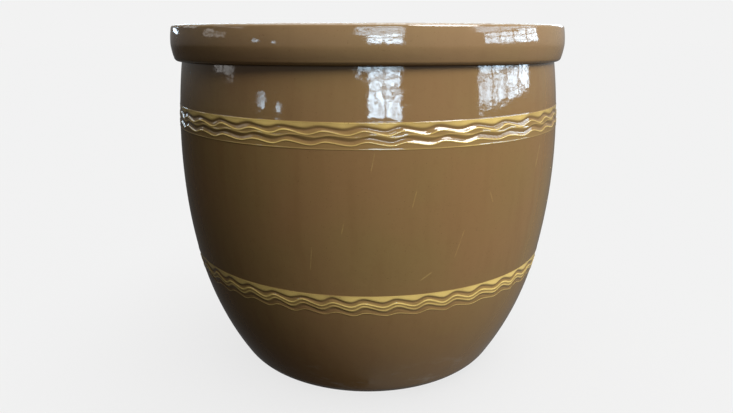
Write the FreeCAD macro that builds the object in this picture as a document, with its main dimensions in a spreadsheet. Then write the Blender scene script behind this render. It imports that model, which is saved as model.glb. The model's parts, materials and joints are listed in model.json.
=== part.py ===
import FreeCAD, Part
import math
import os
import Sketcher

# A large stoneware fermenting crock, about 250 litres, with what it holds to keep the ferment under its brine:
# a round wooden press lid and two half-moon stoneware weights.
# Millimetres. +Z is up. The origin is on the floor, on the crock's axis. The boards of the lid run along X.
# Every outline of the clay is turned about the Z axis: the outside is a rounded foot, a lower arc, an upper arc
# that carries the belly, and a collar.

doc = FreeCAD.newDocument("FermentingCrock")

# ---------------------------------------------------------------- sizes that are chosen
SIZES = {
    # the crock
    "total_height": 700,        # floor to rim top
    "rim_radius": 390,          # outside of the collar
    "rim_width": 45,            # collar, from its outside to the mouth
    "collar_height": 62,        # collar seam to rim top
    "collar_overhang": 15.1,    # how far the collar stands out from the wall under it
    "collar_foot_rise": 34,     # height over which the foot of the collar curves out
    "rim_outer_round": 6,
    "rim_inner_round": 10,
    "mouth_taper_rise": 17,     # height over which the inside of the wall leans in to the mouth
    "belly_swell": 14.1,        # how far the belly stands out from the wall under the collar
    "belly_height": 460,
    "upper_seam_height": 532.5,
    "lower_seam_height": 240,   # the lower arc and the upper arc of the wall meet here
    "base_seam_height": 60,
    "lower_arc_radius": 640,
    "foot_round": 65,
    "floor_round": 45,
    "wall": 16,
    "floor_thickness": 22,
    # the press lid
    "mouth_clearance": 15,      # all round, as the lid goes through the mouth
    "seat_clearance": 0.5,      # between the edge of the lid and the wall that it rests on
    "board_count": 7,
    "board_thickness": 25,
    "board_gap": 1.5,
    "dowel_diameter": 10,
    "dowel_length": 50,
    "dowel_spacing": 180,
    "batten_offset": 130,       # from the axis to the middle of a batten
    "batten_width": 40,
    "batten_height": 30,
    "batten_end_inset": 12,     # from the edge of the lid to the end of a batten
    "peg_diameter": 10,
    "peg_end_inset": 18,        # from the end of a batten to its last peg
    "bar_width": 50,
    "bar_height": 26,
    "bar_overhang": 18,         # how far the lift bar runs past the battens
    "bar_round": 8,
    "bar_peg_spread": 16,       # from the middle of the bar to a peg
    "bar_peg_depth": 24,        # how deep its pegs go into the battens
    "drill_clearance": 0.1,     # between a peg or dowel and its hole
    # the weights
    "rest_clearance": 0.3,      # between a weight and the battens it rests on
    "weight_inset": 60,         # from the edge of the lid to the round edge of a weight
    "weight_to_bar": 12,
    "weight_thickness": 35,
    "weight_corner_round": 22,
    "weight_edge_round": 5,
    "slot_length": 100,
    "slot_width": 30,
    "slot_to_straight_edge": 75,
}

# ---------------------------------------------------------------- sizes that follow from them
# "back" is how far behind the axis the centre of a wide arc lies.
WORKED_OUT = {
    "collar_seam_height": "Sizes.total_height - Sizes.collar_height",
    "neck_radius": "Sizes.rim_radius - Sizes.collar_overhang",
    "mouth_radius": "Sizes.rim_radius - Sizes.rim_width",
    "belly_radius": "neck_radius + Sizes.belly_swell",
    "belly_to_seam": "collar_seam_height - Sizes.belly_height",
    "upper_arc_radius": "(Sizes.belly_swell ^ 2 + belly_to_seam ^ 2) / (2 * Sizes.belly_swell)",
    "upper_back": "upper_arc_radius - belly_radius",
    "belly_drop": "Sizes.belly_height - Sizes.lower_seam_height",
    "lower_seam_radius": "sqrt(upper_arc_radius ^ 2 - belly_drop ^ 2) - upper_back",
    "seam_slope": "belly_drop / upper_arc_radius",
    "lower_back": "Sizes.lower_arc_radius * sqrt(1 - seam_slope ^ 2) - lower_seam_radius",
    "lower_centre_height": "Sizes.lower_seam_height + Sizes.lower_arc_radius * seam_slope",
    "foot_drop": "lower_centre_height - Sizes.foot_round",
    "foot_centre": "sqrt((Sizes.lower_arc_radius - Sizes.foot_round) ^ 2 - foot_drop ^ 2) - lower_back",
    "inner_lower_arc": "Sizes.lower_arc_radius - Sizes.wall",
    "floor_drop": "lower_centre_height - Sizes.floor_thickness - Sizes.floor_round",
    "floor_centre": "sqrt((inner_lower_arc - Sizes.floor_round) ^ 2 - floor_drop ^ 2) - lower_back",
    "inner_upper_arc": "upper_arc_radius - Sizes.wall",
    "neck_inner_radius": "sqrt(inner_upper_arc ^ 2 - belly_to_seam ^ 2) - upper_back",
    "lid_radius": "mouth_radius - Sizes.mouth_clearance",
    "seat_radius": "lid_radius + Sizes.seat_clearance",
    "lid_bottom": "lower_centre_height - sqrt(inner_lower_arc ^ 2 - (seat_radius + lower_back) ^ 2)",
    "lid_top": "lid_bottom + Sizes.board_thickness",
    "batten_top": "lid_top + Sizes.batten_height",
    "bar_top": "batten_top + Sizes.bar_height",
    "board_pitch": "(2 * lid_radius + Sizes.board_gap) / Sizes.board_count",
    "batten_outside": "Sizes.batten_offset + Sizes.batten_width / 2",
    "batten_reach": "sqrt(lid_radius ^ 2 - batten_outside ^ 2) - Sizes.batten_end_inset",
    "bar_reach": "batten_outside + Sizes.bar_overhang",
    "peg_drill_radius": "Sizes.peg_diameter / 2 + Sizes.drill_clearance",
    "dowel_drill_radius": "Sizes.dowel_diameter / 2 + Sizes.drill_clearance",
    "weight_bottom": "batten_top + Sizes.rest_clearance",
    "weight_radius": "lid_radius - Sizes.weight_inset",
    "weight_straight_edge": "Sizes.bar_width / 2 + Sizes.weight_to_bar",
    "slot_middle": "weight_straight_edge + Sizes.slot_to_straight_edge",
}


def fill_sheet(name, rows, prefix):
    """A sheet with an alias for each row; prefix is "=" where the rows are formulas."""
    sheet = doc.addObject("Spreadsheet::Sheet", name)
    for row, (alias, content) in enumerate(rows.items(), start=1):
        sheet.set(f"A{row}", alias)
        sheet.set(f"B{row}", f"{prefix}{content}")
        sheet.setAlias(f"B{row}", alias)
    doc.recompute()
    return sheet


sizes = fill_sheet("Sizes", SIZES, "")
worked = fill_sheet("Worked", WORKED_OUT, "=")


def size(alias):
    """The present value of a size, chosen or worked out."""
    return float(getattr(sizes if alias in SIZES else worked, alias))


def cell(alias):
    """A size as an expression names it."""
    return f"Sizes.{alias}" if alias in SIZES else f"Worked.{alias}"


def bind(thing, **expressions):
    """Bind properties to expressions; x, y and z stand for the place of a Placement."""
    for key, expression in expressions.items():
        path = f".Placement.Base.{key}" if key in ("x", "y", "z") else key
        thing.setExpression(path, str(expression))
    return thing


# ---------------------------------------------------------------- sketches
ORIGIN = -1
START, END, CENTRE = 1, 2, 3


def new_body(name):
    body = doc.addObject("PartDesign::Body", name)
    body.Label = name
    return body


def new_sketch(body, name, plane):
    """A sketch on one of the body's own origin planes."""
    sketch = body.newObject("Sketcher::SketchObject", f"{body.Name}_{name}")
    origin_plane = next(f for f in body.Origin.OriginFeatures if f.Role == plane)
    sketch.AttachmentSupport = (origin_plane, [""])
    sketch.MapMode = "FlatFace"
    return sketch


def line(sketch, start, end):
    segment = Part.LineSegment(FreeCAD.Vector(*start, 0), FreeCAD.Vector(*end, 0))
    return sketch.addGeometry(segment, False)


def arc(sketch, centre, radius, from_degrees, to_degrees):
    """An arc that runs anticlockwise between two angles."""
    circle = Part.Circle(FreeCAD.Vector(*centre, 0), FreeCAD.Vector(0, 0, 1), radius)
    turn = Part.ArcOfCircle(circle, math.radians(from_degrees), math.radians(to_degrees))
    return sketch.addGeometry(turn, False)


def hold(sketch, kind, references, expression, value):
    """A dimension of the sketch, bound to an expression; value is where the solver starts."""
    index = sketch.addConstraint(Sketcher.Constraint(kind, *references, value))
    sketch.setExpression(f"Constraints[{index}]", expression)


def hold_size(sketch, kind, references, alias):
    hold(sketch, kind, references, cell(alias), size(alias))


def join(sketch, kind, pairs):
    """Coincident or Tangent at pairs of ends: ((piece, end), (piece, end))."""
    for first, second in pairs:
        sketch.addConstraint(Sketcher.Constraint(kind, *first, *second))


def level(sketch, *lines):
    for index in lines:
        sketch.addConstraint(Sketcher.Constraint("Horizontal", index))


def plumb(sketch, *lines):
    for index in lines:
        sketch.addConstraint(Sketcher.Constraint("Vertical", index))


def place_wide_centre(sketch, curve, which):
    """Put the centre of a wall's arc behind the axis, at its height; which is "lower" or "upper"."""
    height = "lower_centre_height" if which == "lower" else "belly_height"
    hold_size(sketch, "DistanceX", (curve, CENTRE, ORIGIN, START), f"{which}_back")
    hold_size(sketch, "DistanceY", (ORIGIN, START, curve, CENTRE), height)


def turn_about_axis(body, sketch):
    doc.recompute()
    turned = body.newObject("PartDesign::Revolution", f"{body.Name}_turned")
    turned.Profile = sketch
    turned.ReferenceAxis = (sketch, ["V_Axis"])
    turned.Angle = 360
    sketch.Visibility = False
    return body


def rise(height, centre_height, radius):
    """The angle above level, in degrees, at which an arc passes a height."""
    return math.degrees(math.asin((height - centre_height) / radius))


def on_arc(height, back, centre_height, radius):
    """The point of a wall's arc at a height."""
    return (math.sqrt(radius ** 2 - (height - centre_height) ** 2) - back, height)


# ---------------------------------------------------------------- the clay: base
def make_base():
    """The flat bottom, the rounded foot and the first of the wall, in one outline."""
    body = new_body("base")
    sketch = new_sketch(body, "outline", "XZ_Plane")
    wide_centre = (-size("lower_back"), size("lower_centre_height"))
    outer_radius = size("lower_arc_radius")
    inner_radius = size("inner_lower_arc")
    foot_radius = size("foot_round")
    foot_centre = (size("foot_centre"), foot_radius)
    floor_radius = size("floor_round")
    floor_height = size("floor_thickness")
    floor_centre = (size("floor_centre"), floor_height + floor_radius)
    seam = size("base_seam_height")
    foot_end = rise(foot_radius, wide_centre[1], outer_radius - foot_radius)
    floor_end = rise(floor_centre[1], wide_centre[1], inner_radius - floor_radius)
    outer_seam = on_arc(seam, size("lower_back"), wide_centre[1], outer_radius)
    inner_seam = on_arc(seam, size("lower_back"), wide_centre[1], inner_radius)

    bottom = line(sketch, (0, 0), (foot_centre[0], 0))
    foot = arc(sketch, foot_centre, foot_radius, -90, foot_end)
    outside = arc(sketch, wide_centre, outer_radius, foot_end, rise(seam, wide_centre[1], outer_radius))
    top = line(sketch, outer_seam, inner_seam)
    inside = arc(sketch, wide_centre, inner_radius, floor_end, rise(seam, wide_centre[1], inner_radius))
    corner = arc(sketch, floor_centre, floor_radius, -90, floor_end)
    floor = line(sketch, (floor_centre[0], floor_height), (0, floor_height))
    axis = line(sketch, (0, floor_height), (0, 0))

    join(sketch, "Coincident", [
        ((bottom, START), (ORIGIN, START)),
        ((outside, END), (top, START)),
        ((top, END), (inside, END)),
        ((floor, END), (axis, START)),
        ((axis, END), (bottom, START)),
    ])
    join(sketch, "Tangent", [
        ((bottom, END), (foot, START)),
        ((foot, END), (outside, START)),
        ((inside, START), (corner, END)),
        ((corner, START), (floor, START)),
    ])
    level(sketch, bottom, top, floor)
    plumb(sketch, axis)
    place_wide_centre(sketch, outside, "lower")
    place_wide_centre(sketch, inside, "lower")
    hold_size(sketch, "Radius", (outside,), "lower_arc_radius")
    hold_size(sketch, "Radius", (inside,), "inner_lower_arc")
    hold_size(sketch, "Radius", (foot,), "foot_round")
    hold_size(sketch, "Radius", (corner,), "floor_round")
    hold_size(sketch, "DistanceY", (ORIGIN, START, floor, START), "floor_thickness")
    hold_size(sketch, "DistanceY", (ORIGIN, START, top, START), "base_seam_height")
    return turn_about_axis(body, sketch)


# ---------------------------------------------------------------- the clay: walls
def make_wall(name, which, bottom_alias, top_alias):
    """A thrown ring between two level seams; which is the arc that it follows, "lower" or "upper"."""
    body = new_body(name)
    sketch = new_sketch(body, "outline", "XZ_Plane")
    height_alias = "lower_centre_height" if which == "lower" else "belly_height"
    back, middle = size(f"{which}_back"), size(height_alias)
    outer_radius, inner_radius = size(f"{which}_arc_radius"), size(f"inner_{which}_arc")
    low, high = size(bottom_alias), size(top_alias)

    def wall_arc(radius):
        return arc(sketch, (-back, middle), radius, rise(low, middle, radius), rise(high, middle, radius))

    outside = wall_arc(outer_radius)
    inside = wall_arc(inner_radius)
    foot = line(sketch, on_arc(low, back, middle, inner_radius), on_arc(low, back, middle, outer_radius))
    top = line(sketch, on_arc(high, back, middle, outer_radius), on_arc(high, back, middle, inner_radius))
    join(sketch, "Coincident", [
        ((foot, END), (outside, START)),
        ((outside, END), (top, START)),
        ((top, END), (inside, END)),
        ((inside, START), (foot, START)),
    ])
    level(sketch, foot, top)
    place_wide_centre(sketch, outside, which)
    place_wide_centre(sketch, inside, which)
    hold_size(sketch, "Radius", (outside,), f"{which}_arc_radius")
    hold_size(sketch, "Radius", (inside,), f"inner_{which}_arc")
    hold_size(sketch, "DistanceY", (ORIGIN, START, foot, START), bottom_alias)
    hold_size(sketch, "DistanceY", (ORIGIN, START, top, START), top_alias)
    return turn_about_axis(body, sketch)


# ---------------------------------------------------------------- the clay: collar
def make_collar():
    """The thick rim: its foot curves out to an upright face, its top is a flat land between two rounds."""
    body = new_body("rim_collar")
    sketch = new_sketch(body, "outline", "XZ_Plane")
    seam, top = size("collar_seam_height"), size("total_height")
    neck, neck_inside = size("neck_radius"), size("neck_inner_radius")
    rim, mouth = size("rim_radius"), size("mouth_radius")
    overhang, foot_rise = size("collar_overhang"), size("collar_foot_rise")
    foot_radius = (overhang ** 2 + foot_rise ** 2) / (2 * overhang)
    foot_top = seam + foot_rise
    outer, inner = size("rim_outer_round"), size("rim_inner_round")
    taper_top = seam + size("mouth_taper_rise")

    seat = line(sketch, (neck_inside, seam), (neck, seam))
    foot = arc(sketch, (rim - foot_radius, foot_top), foot_radius, rise(seam, foot_top, foot_radius), 0)
    face = line(sketch, (rim, foot_top), (rim, top - outer))
    outer_edge = arc(sketch, (rim - outer, top - outer), outer, 0, 90)
    land = line(sketch, (rim - outer, top), (mouth + inner, top))
    inner_edge = arc(sketch, (mouth + inner, top - inner), inner, 90, 180)
    throat = line(sketch, (mouth, top - inner), (mouth, taper_top))
    taper = line(sketch, (mouth, taper_top), (neck_inside, seam))
    join(sketch, "Coincident", [
        ((seat, END), (foot, START)),
        ((throat, END), (taper, START)),
        ((taper, END), (seat, START)),
    ])
    join(sketch, "Tangent", [
        ((foot, END), (face, START)),
        ((face, END), (outer_edge, START)),
        ((outer_edge, END), (land, START)),
        ((land, END), (inner_edge, START)),
        ((inner_edge, END), (throat, START)),
    ])
    level(sketch, seat, land)
    plumb(sketch, face, throat)
    hold_size(sketch, "DistanceY", (ORIGIN, START, seat, START), "collar_seam_height")
    hold_size(sketch, "DistanceX", (ORIGIN, START, seat, START), "neck_inner_radius")
    hold_size(sketch, "DistanceX", (ORIGIN, START, seat, END), "neck_radius")
    hold_size(sketch, "DistanceX", (ORIGIN, START, face, START), "rim_radius")
    hold_size(sketch, "DistanceY", (foot, START, foot, END), "collar_foot_rise")
    hold_size(sketch, "Radius", (outer_edge,), "rim_outer_round")
    hold_size(sketch, "DistanceY", (ORIGIN, START, land, START), "total_height")
    hold_size(sketch, "Radius", (inner_edge,), "rim_inner_round")
    hold_size(sketch, "DistanceX", (ORIGIN, START, throat, START), "mouth_radius")
    hold_size(sketch, "DistanceY", (taper, END, taper, START), "mouth_taper_rise")
    return turn_about_axis(body, sketch)


# ---------------------------------------------------------------- the press lid
BOARDS = range(1, int(size("board_count")) + 1)
SEAMS = BOARDS[:-1]
SIDES = {"left": -1, "right": 1}


def board_middle(number):
    """Expression for where the middle of a board lies along Y; the boards fill the lid from front to back."""
    return f"({number} - ({cell('board_count')} + 1) / 2) * {cell('board_pitch')}"


def peg_place(number):
    """Expression for where a batten's peg goes into a board; the end boards take theirs near the batten's end."""
    if number in (BOARDS[0], BOARDS[-1]):
        side = -1 if number == BOARDS[0] else 1
        return f"{side} * ({cell('batten_reach')} - {cell('peg_end_inset')})"
    return board_middle(number)


def upright_pin(name, radius, bottom, height, x, y):
    pin = doc.addObject("Part::Cylinder", name)
    return bind(pin, Radius=radius, Height=height, x=x, y=y, z=bottom)


def batten_pins(name, radius):
    """One pin through batten and board for each place where they cross."""
    pins = [
        upright_pin(f"{name}_{label}_{number}", radius, cell("lid_bottom"),
                    f"{cell('batten_top')} - {cell('lid_bottom')}",
                    f"{side} * {cell('batten_offset')}", peg_place(number))
        for label, side in SIDES.items() for number in BOARDS
    ]
    return group(name, pins)


def bar_pins(name, radius):
    """Two pins at each end of the lift bar, down into the batten."""
    pins = [
        upright_pin(f"{name}_{label}_{edge}", radius, f"{cell('batten_top')} - {cell('bar_peg_depth')}",
                    f"{cell('bar_height')} + {cell('bar_peg_depth')}",
                    f"{side} * {cell('batten_offset')}", f"{across} * {cell('bar_peg_spread')}")
        for label, side in SIDES.items() for edge, across in (("front", -1), ("back", 1))
    ]
    return group(name, pins)


def edge_pins(name, radius):
    """Three level pins across each seam between boards, at half the thickness."""
    pins = []
    for seam in SEAMS:
        for place in (-1, 0, 1):
            pin = doc.addObject("Part::Cylinder", f"{name}_{seam}_{place + 2}")
            pin.Placement.Rotation = FreeCAD.Rotation(FreeCAD.Vector(1, 0, 0), -90)
            seam_line = f"{board_middle(seam)} + {cell('board_pitch')} / 2"
            bind(pin, Radius=radius, Height=cell("dowel_length"),
                 x=f"{place} * {cell('dowel_spacing')}",
                 y=f"{seam_line} - {cell('dowel_length')} / 2",
                 z=f"{cell('lid_bottom')} + {cell('board_thickness')} / 2")
            pins.append(pin)
    return group(name, pins)


def group(name, members):
    """Separate solids that share one node."""
    together = doc.addObject("Part::Compound", name)
    together.Label = name
    together.Links = members
    return together


def drilled(name, blank, drills):
    cut = doc.addObject("Part::Cut", name)
    cut.Label = name
    cut.Base = blank
    cut.Tool = drills
    return cut


def make_boards(drills):
    """The round lid, sawn into boards of equal width."""
    disc = doc.addObject("Part::Cylinder", "lid_disc")
    bind(disc, Radius=cell("lid_radius"), Height=cell("board_thickness"), z=cell("lid_bottom"))
    boards = []
    for number in BOARDS:
        strip = doc.addObject("Part::Box", f"board_strip_{number}")
        bind(strip, Length=f"2 * {cell('lid_radius')}", Height=cell("board_thickness"),
             Width=f"{cell('board_pitch')} - {cell('board_gap')}",
             x=f"-{cell('lid_radius')}", z=cell("lid_bottom"),
             y=f"{board_middle(number)} - ({cell('board_pitch')} - {cell('board_gap')}) / 2")
        blank = doc.addObject("Part::Common", f"board_blank_{number}")
        blank.Base = disc
        blank.Tool = strip
        boards.append(drilled(f"press_board_{number}", blank, drills))
    return boards


def make_batten(label, drills):
    blank = doc.addObject("Part::Box", f"batten_blank_{label}")
    bind(blank, Length=cell("batten_width"), Width=f"2 * {cell('batten_reach')}",
         Height=cell("batten_height"),
         x=f"{SIDES[label]} * {cell('batten_offset')} - {cell('batten_width')} / 2",
         y=f"-{cell('batten_reach')}", z=cell("lid_top"))
    return drilled(f"batten_{label}", blank, drills)


def make_lift_bar(drills):
    blank = doc.addObject("Part::Box", "lift_bar_blank")
    bind(blank, Length=f"2 * {cell('bar_reach')}", Width=cell("bar_width"), Height=cell("bar_height"),
         x=f"-{cell('bar_reach')}", y=f"-{cell('bar_width')} / 2", z=cell("batten_top"))
    doc.recompute()
    rounded = doc.addObject("Part::Fillet", "lift_bar_rounded")
    rounded.Base = blank
    along = [number for number, edge in enumerate(blank.Shape.Edges, start=1)
             if abs(edge.tangentAt(edge.FirstParameter).x) > 0.9]
    radius = min(size("bar_round"), 0.45 * size("bar_height"), 0.45 * size("bar_width"))
    rounded.Edges = [(number, radius, radius) for number in along]
    return drilled("lift_bar", rounded, drills)


# ---------------------------------------------------------------- the weights
def make_weight(name, turn):
    """A half-moon weight with a finger slot; turn, in degrees about Z, sets which half of the lid it lies on."""
    body = new_body(name)
    outline = new_sketch(body, "outline", "XY_Plane")
    radius, edge = size("weight_radius"), size("weight_straight_edge")
    start = math.degrees(math.asin(edge / radius))
    reach = math.sqrt(radius ** 2 - edge ** 2)
    round_side = arc(outline, (0, 0), radius, start, 180 - start)
    straight = line(outline, (-reach, edge), (reach, edge))
    join(outline, "Coincident", [
        ((round_side, CENTRE), (ORIGIN, START)),
        ((round_side, START), (straight, END)),
        ((round_side, END), (straight, START)),
    ])
    level(outline, straight)
    hold_size(outline, "Radius", (round_side,), "weight_radius")
    hold_size(outline, "DistanceY", (ORIGIN, START, straight, START), "weight_straight_edge")
    doc.recompute()
    slab = body.newObject("PartDesign::Pad", f"{name}_slab")
    slab.Profile = outline
    bind(slab, Length=cell("weight_thickness"))
    doc.recompute()

    slot = new_sketch(body, "slot", "XY_Plane")
    middle, half_width = size("slot_middle"), size("slot_width") / 2
    half_run = size("slot_length") / 2 - half_width
    right = arc(slot, (half_run, middle), half_width, -90, 90)
    left = arc(slot, (-half_run, middle), half_width, 90, 270)
    back = line(slot, (half_run, middle + half_width), (-half_run, middle + half_width))
    front = line(slot, (-half_run, middle - half_width), (half_run, middle - half_width))
    join(slot, "Tangent", [
        ((right, END), (back, START)),
        ((back, END), (left, START)),
        ((left, END), (front, START)),
        ((front, END), (right, START)),
    ])
    level(slot, back, front)
    half_run_cells = f"({cell('slot_length')} - {cell('slot_width')}) / 2"
    hold(slot, "Radius", (right,), f"{cell('slot_width')} / 2", half_width)
    hold_size(slot, "DistanceY", (ORIGIN, START, right, CENTRE), "slot_middle")
    hold(slot, "DistanceX", (ORIGIN, START, right, CENTRE), half_run_cells, half_run)
    hold(slot, "DistanceX", (left, CENTRE, ORIGIN, START), half_run_cells, half_run)
    doc.recompute()
    opening = body.newObject("PartDesign::Pocket", f"{name}_finger_slot")
    opening.Profile = slot
    opening.Type = "ThroughAll"
    opening.Reversed = True
    doc.recompute()

    corners = body.newObject("PartDesign::Fillet", f"{name}_corners")
    corners.Base = (opening, upright_edges_at(opening, reach, edge))
    bind(corners, Radius=cell("weight_corner_round"))
    doc.recompute()
    arrises = body.newObject("PartDesign::Fillet", f"{name}_arrises")
    arrises.Base = (corners, level_edges(corners))
    bind(arrises, Radius=cell("weight_edge_round"))
    body.Tip = arrises
    body.Placement.Rotation = FreeCAD.Rotation(FreeCAD.Vector(0, 0, 1), turn)
    bind(body, z=cell("weight_bottom"))
    return body


def upright_edges_at(feature, x, y):
    """The names of the upright edges at (x, y) and (-x, y)."""
    close = 0.01
    return [f"Edge{number}" for number, edge in enumerate(feature.Shape.Edges, start=1)
            if edge.BoundBox.XLength < close and edge.BoundBox.YLength < close
            and abs(abs(edge.CenterOfMass.x) - x) < close and abs(edge.CenterOfMass.y - y) < close]


def level_edges(feature):
    """The names of the edges that lie level, at the top and at the bottom."""
    return [f"Edge{number}" for number, edge in enumerate(feature.Shape.Edges, start=1)
            if edge.BoundBox.ZLength < 0.01]


# ---------------------------------------------------------------- the object
batten_drills = batten_pins("batten_drills", cell("peg_drill_radius"))
bar_drills = bar_pins("bar_drills", cell("peg_drill_radius"))
edge_drills = edge_pins("edge_drills", cell("dowel_drill_radius"))
board_drills = group("board_drills", [batten_drills, edge_drills])
timber_drills = group("timber_drills", [batten_drills, bar_drills])

pieces = [
    make_base(),
    make_wall("lower_wall", "lower", "base_seam_height", "lower_seam_height"),
    make_wall("middle_wall", "upper", "lower_seam_height", "upper_seam_height"),
    make_wall("upper_wall", "upper", "upper_seam_height", "collar_seam_height"),
    make_collar(),
    *make_boards(board_drills),
    edge_pins("edge_dowels", f"{cell('dowel_diameter')} / 2"),
    *(make_batten(label, timber_drills) for label in SIDES),
    batten_pins("batten_pegs", f"{cell('peg_diameter')} / 2"),
    make_lift_bar(bar_drills),
    bar_pins("lift_bar_pegs", f"{cell('peg_diameter')} / 2"),
    make_weight("back_weight", 0),
    make_weight("front_weight", 180),
]
doc.recompute()

# ---------------------------------------------------------------- tests, then the files
for item in doc.Objects:
    if "Invalid" in item.State or "Error" in item.State:
        raise RuntimeError(f"{item.Name} did not build: {item.State}")
for piece in pieces:
    if piece.Shape.isNull() or not piece.Shape.isValid():
        raise RuntimeError(f"{piece.Label} has no valid shape")

os.makedirs("parts", exist_ok=True)
for piece in pieces:
    piece.Shape.exportStep(f"parts/{piece.Label}.step")
    box = piece.Shape.BoundBox
    print(f"{piece.Label}: {len(piece.Shape.Solids)} solid(s), {piece.Shape.Volume / 1000:.0f} cm3, "
          f"z {box.ZMin:.1f} to {box.ZMax:.1f}")
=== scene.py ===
import json
import logging
import math
from dataclasses import dataclass
from enum import Enum
from typing import Callable, Dict, List, Optional, Sequence, Tuple, Union

import bmesh
import bpy
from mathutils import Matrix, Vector

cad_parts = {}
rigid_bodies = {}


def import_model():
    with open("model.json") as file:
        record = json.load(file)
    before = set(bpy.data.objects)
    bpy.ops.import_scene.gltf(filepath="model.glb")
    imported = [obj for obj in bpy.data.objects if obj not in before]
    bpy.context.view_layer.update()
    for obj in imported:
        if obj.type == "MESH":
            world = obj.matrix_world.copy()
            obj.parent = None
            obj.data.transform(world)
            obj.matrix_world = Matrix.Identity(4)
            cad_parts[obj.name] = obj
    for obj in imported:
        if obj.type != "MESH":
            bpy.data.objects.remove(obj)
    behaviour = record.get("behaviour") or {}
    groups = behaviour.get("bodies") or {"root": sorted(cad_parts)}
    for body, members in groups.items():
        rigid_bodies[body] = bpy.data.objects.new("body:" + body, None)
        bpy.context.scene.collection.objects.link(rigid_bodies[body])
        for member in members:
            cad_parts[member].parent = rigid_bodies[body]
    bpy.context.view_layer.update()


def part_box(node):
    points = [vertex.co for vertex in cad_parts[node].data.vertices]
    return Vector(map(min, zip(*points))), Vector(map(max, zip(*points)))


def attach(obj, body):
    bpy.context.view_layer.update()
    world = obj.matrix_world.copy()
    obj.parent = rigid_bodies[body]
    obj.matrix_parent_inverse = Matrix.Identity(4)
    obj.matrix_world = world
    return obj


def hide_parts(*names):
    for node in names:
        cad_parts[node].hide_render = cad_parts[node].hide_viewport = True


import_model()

log = logging.getLogger("crock")

MM = 0.001
SLIP = "slip"            # how much pale slip shows at a point of the clay, 0 to 1
OUTSIDE = "outside"      # 1 on the outer face of the clay, 0 on the inner face
GRAIN_SHIFT = "grain_shift"   # moves the grain along, so that no two boards match

Point2 = Tuple[float, float]
Point3 = Tuple[float, float, float]
Colour = Tuple[float, float, float, float]


def srgb(red: int, green: int, blue: int) -> Colour:
    """A colour, as linear light, from its screen values of 0 to 255."""
    return tuple(((v / 255 + 0.055) / 1.055) ** 2.4 for v in (red, green, blue)) + (1.0,)


# ---------------------------------------------------------------- node trees
def both_ways(operation: str) -> Tuple[Callable, Callable]:
    """An operator of Value.

    Args:
        operation: The Math node that it adds.

    Returns:
        The operator and its reflected form.
    """

    def forward(self: "Value", other: "Number") -> "Value":
        """The operation on self and then other."""
        return self.tree.math(operation, self, other)

    def reflected(self: "Value", other: "Number") -> "Value":
        """The operation on other and then self."""
        return self.tree.math(operation, other, self)

    return forward, reflected


def alone(operation: str) -> Callable[["Value"], "Value"]:
    """A method of Value that adds a Math node on the value alone."""
    return lambda self: self.tree.math(operation, self)


class Value:
    """A number that flows through a node tree; arithmetic on it adds Math nodes."""

    __add__, __radd__ = both_ways("ADD")
    __sub__, __rsub__ = both_ways("SUBTRACT")
    __mul__, __rmul__ = both_ways("MULTIPLY")
    __truediv__, __rtruediv__ = both_ways("DIVIDE")
    __mod__, __rmod__ = both_ways("FLOORED_MODULO")     # never negative
    __abs__ = alone("ABSOLUTE")
    floor = alone("FLOOR")
    sin = alone("SINE")                                 # of radians, as is cos
    cos = alone("COSINE")

    def __init__(self, tree: "Tree", socket: bpy.types.NodeSocket) -> None:
        """Wrap an output socket of a tree."""
        self.tree = tree
        self.socket = socket

    def __neg__(self) -> "Value":
        """Minus self."""
        return self * -1.0

    def bell(self) -> "Value":
        """1 where self is 0, falling away smoothly on both sides of it."""
        return self.tree.math("EXPONENT", -(self * self))

    def rise(self, low: float, high: float) -> "Value":
        """0 below low, 1 above high, and a smooth step between them; low may be above high."""
        settings = {"interpolation_type": "SMOOTHSTEP"}
        sockets = {"Value": self, "From Min": low, "From Max": high}
        return self.tree.value("ShaderNodeMapRange", settings, sockets)

    def toward(self, other: "Number", share: "Number") -> "Value":
        """Self moved a share of the way to other."""
        return self + (other - self) * share


Number = Union[Value, float]
Feed = Union[Value, bpy.types.NodeSocket, float, int, bool, str, Sequence[float], bpy.types.ID]


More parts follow.
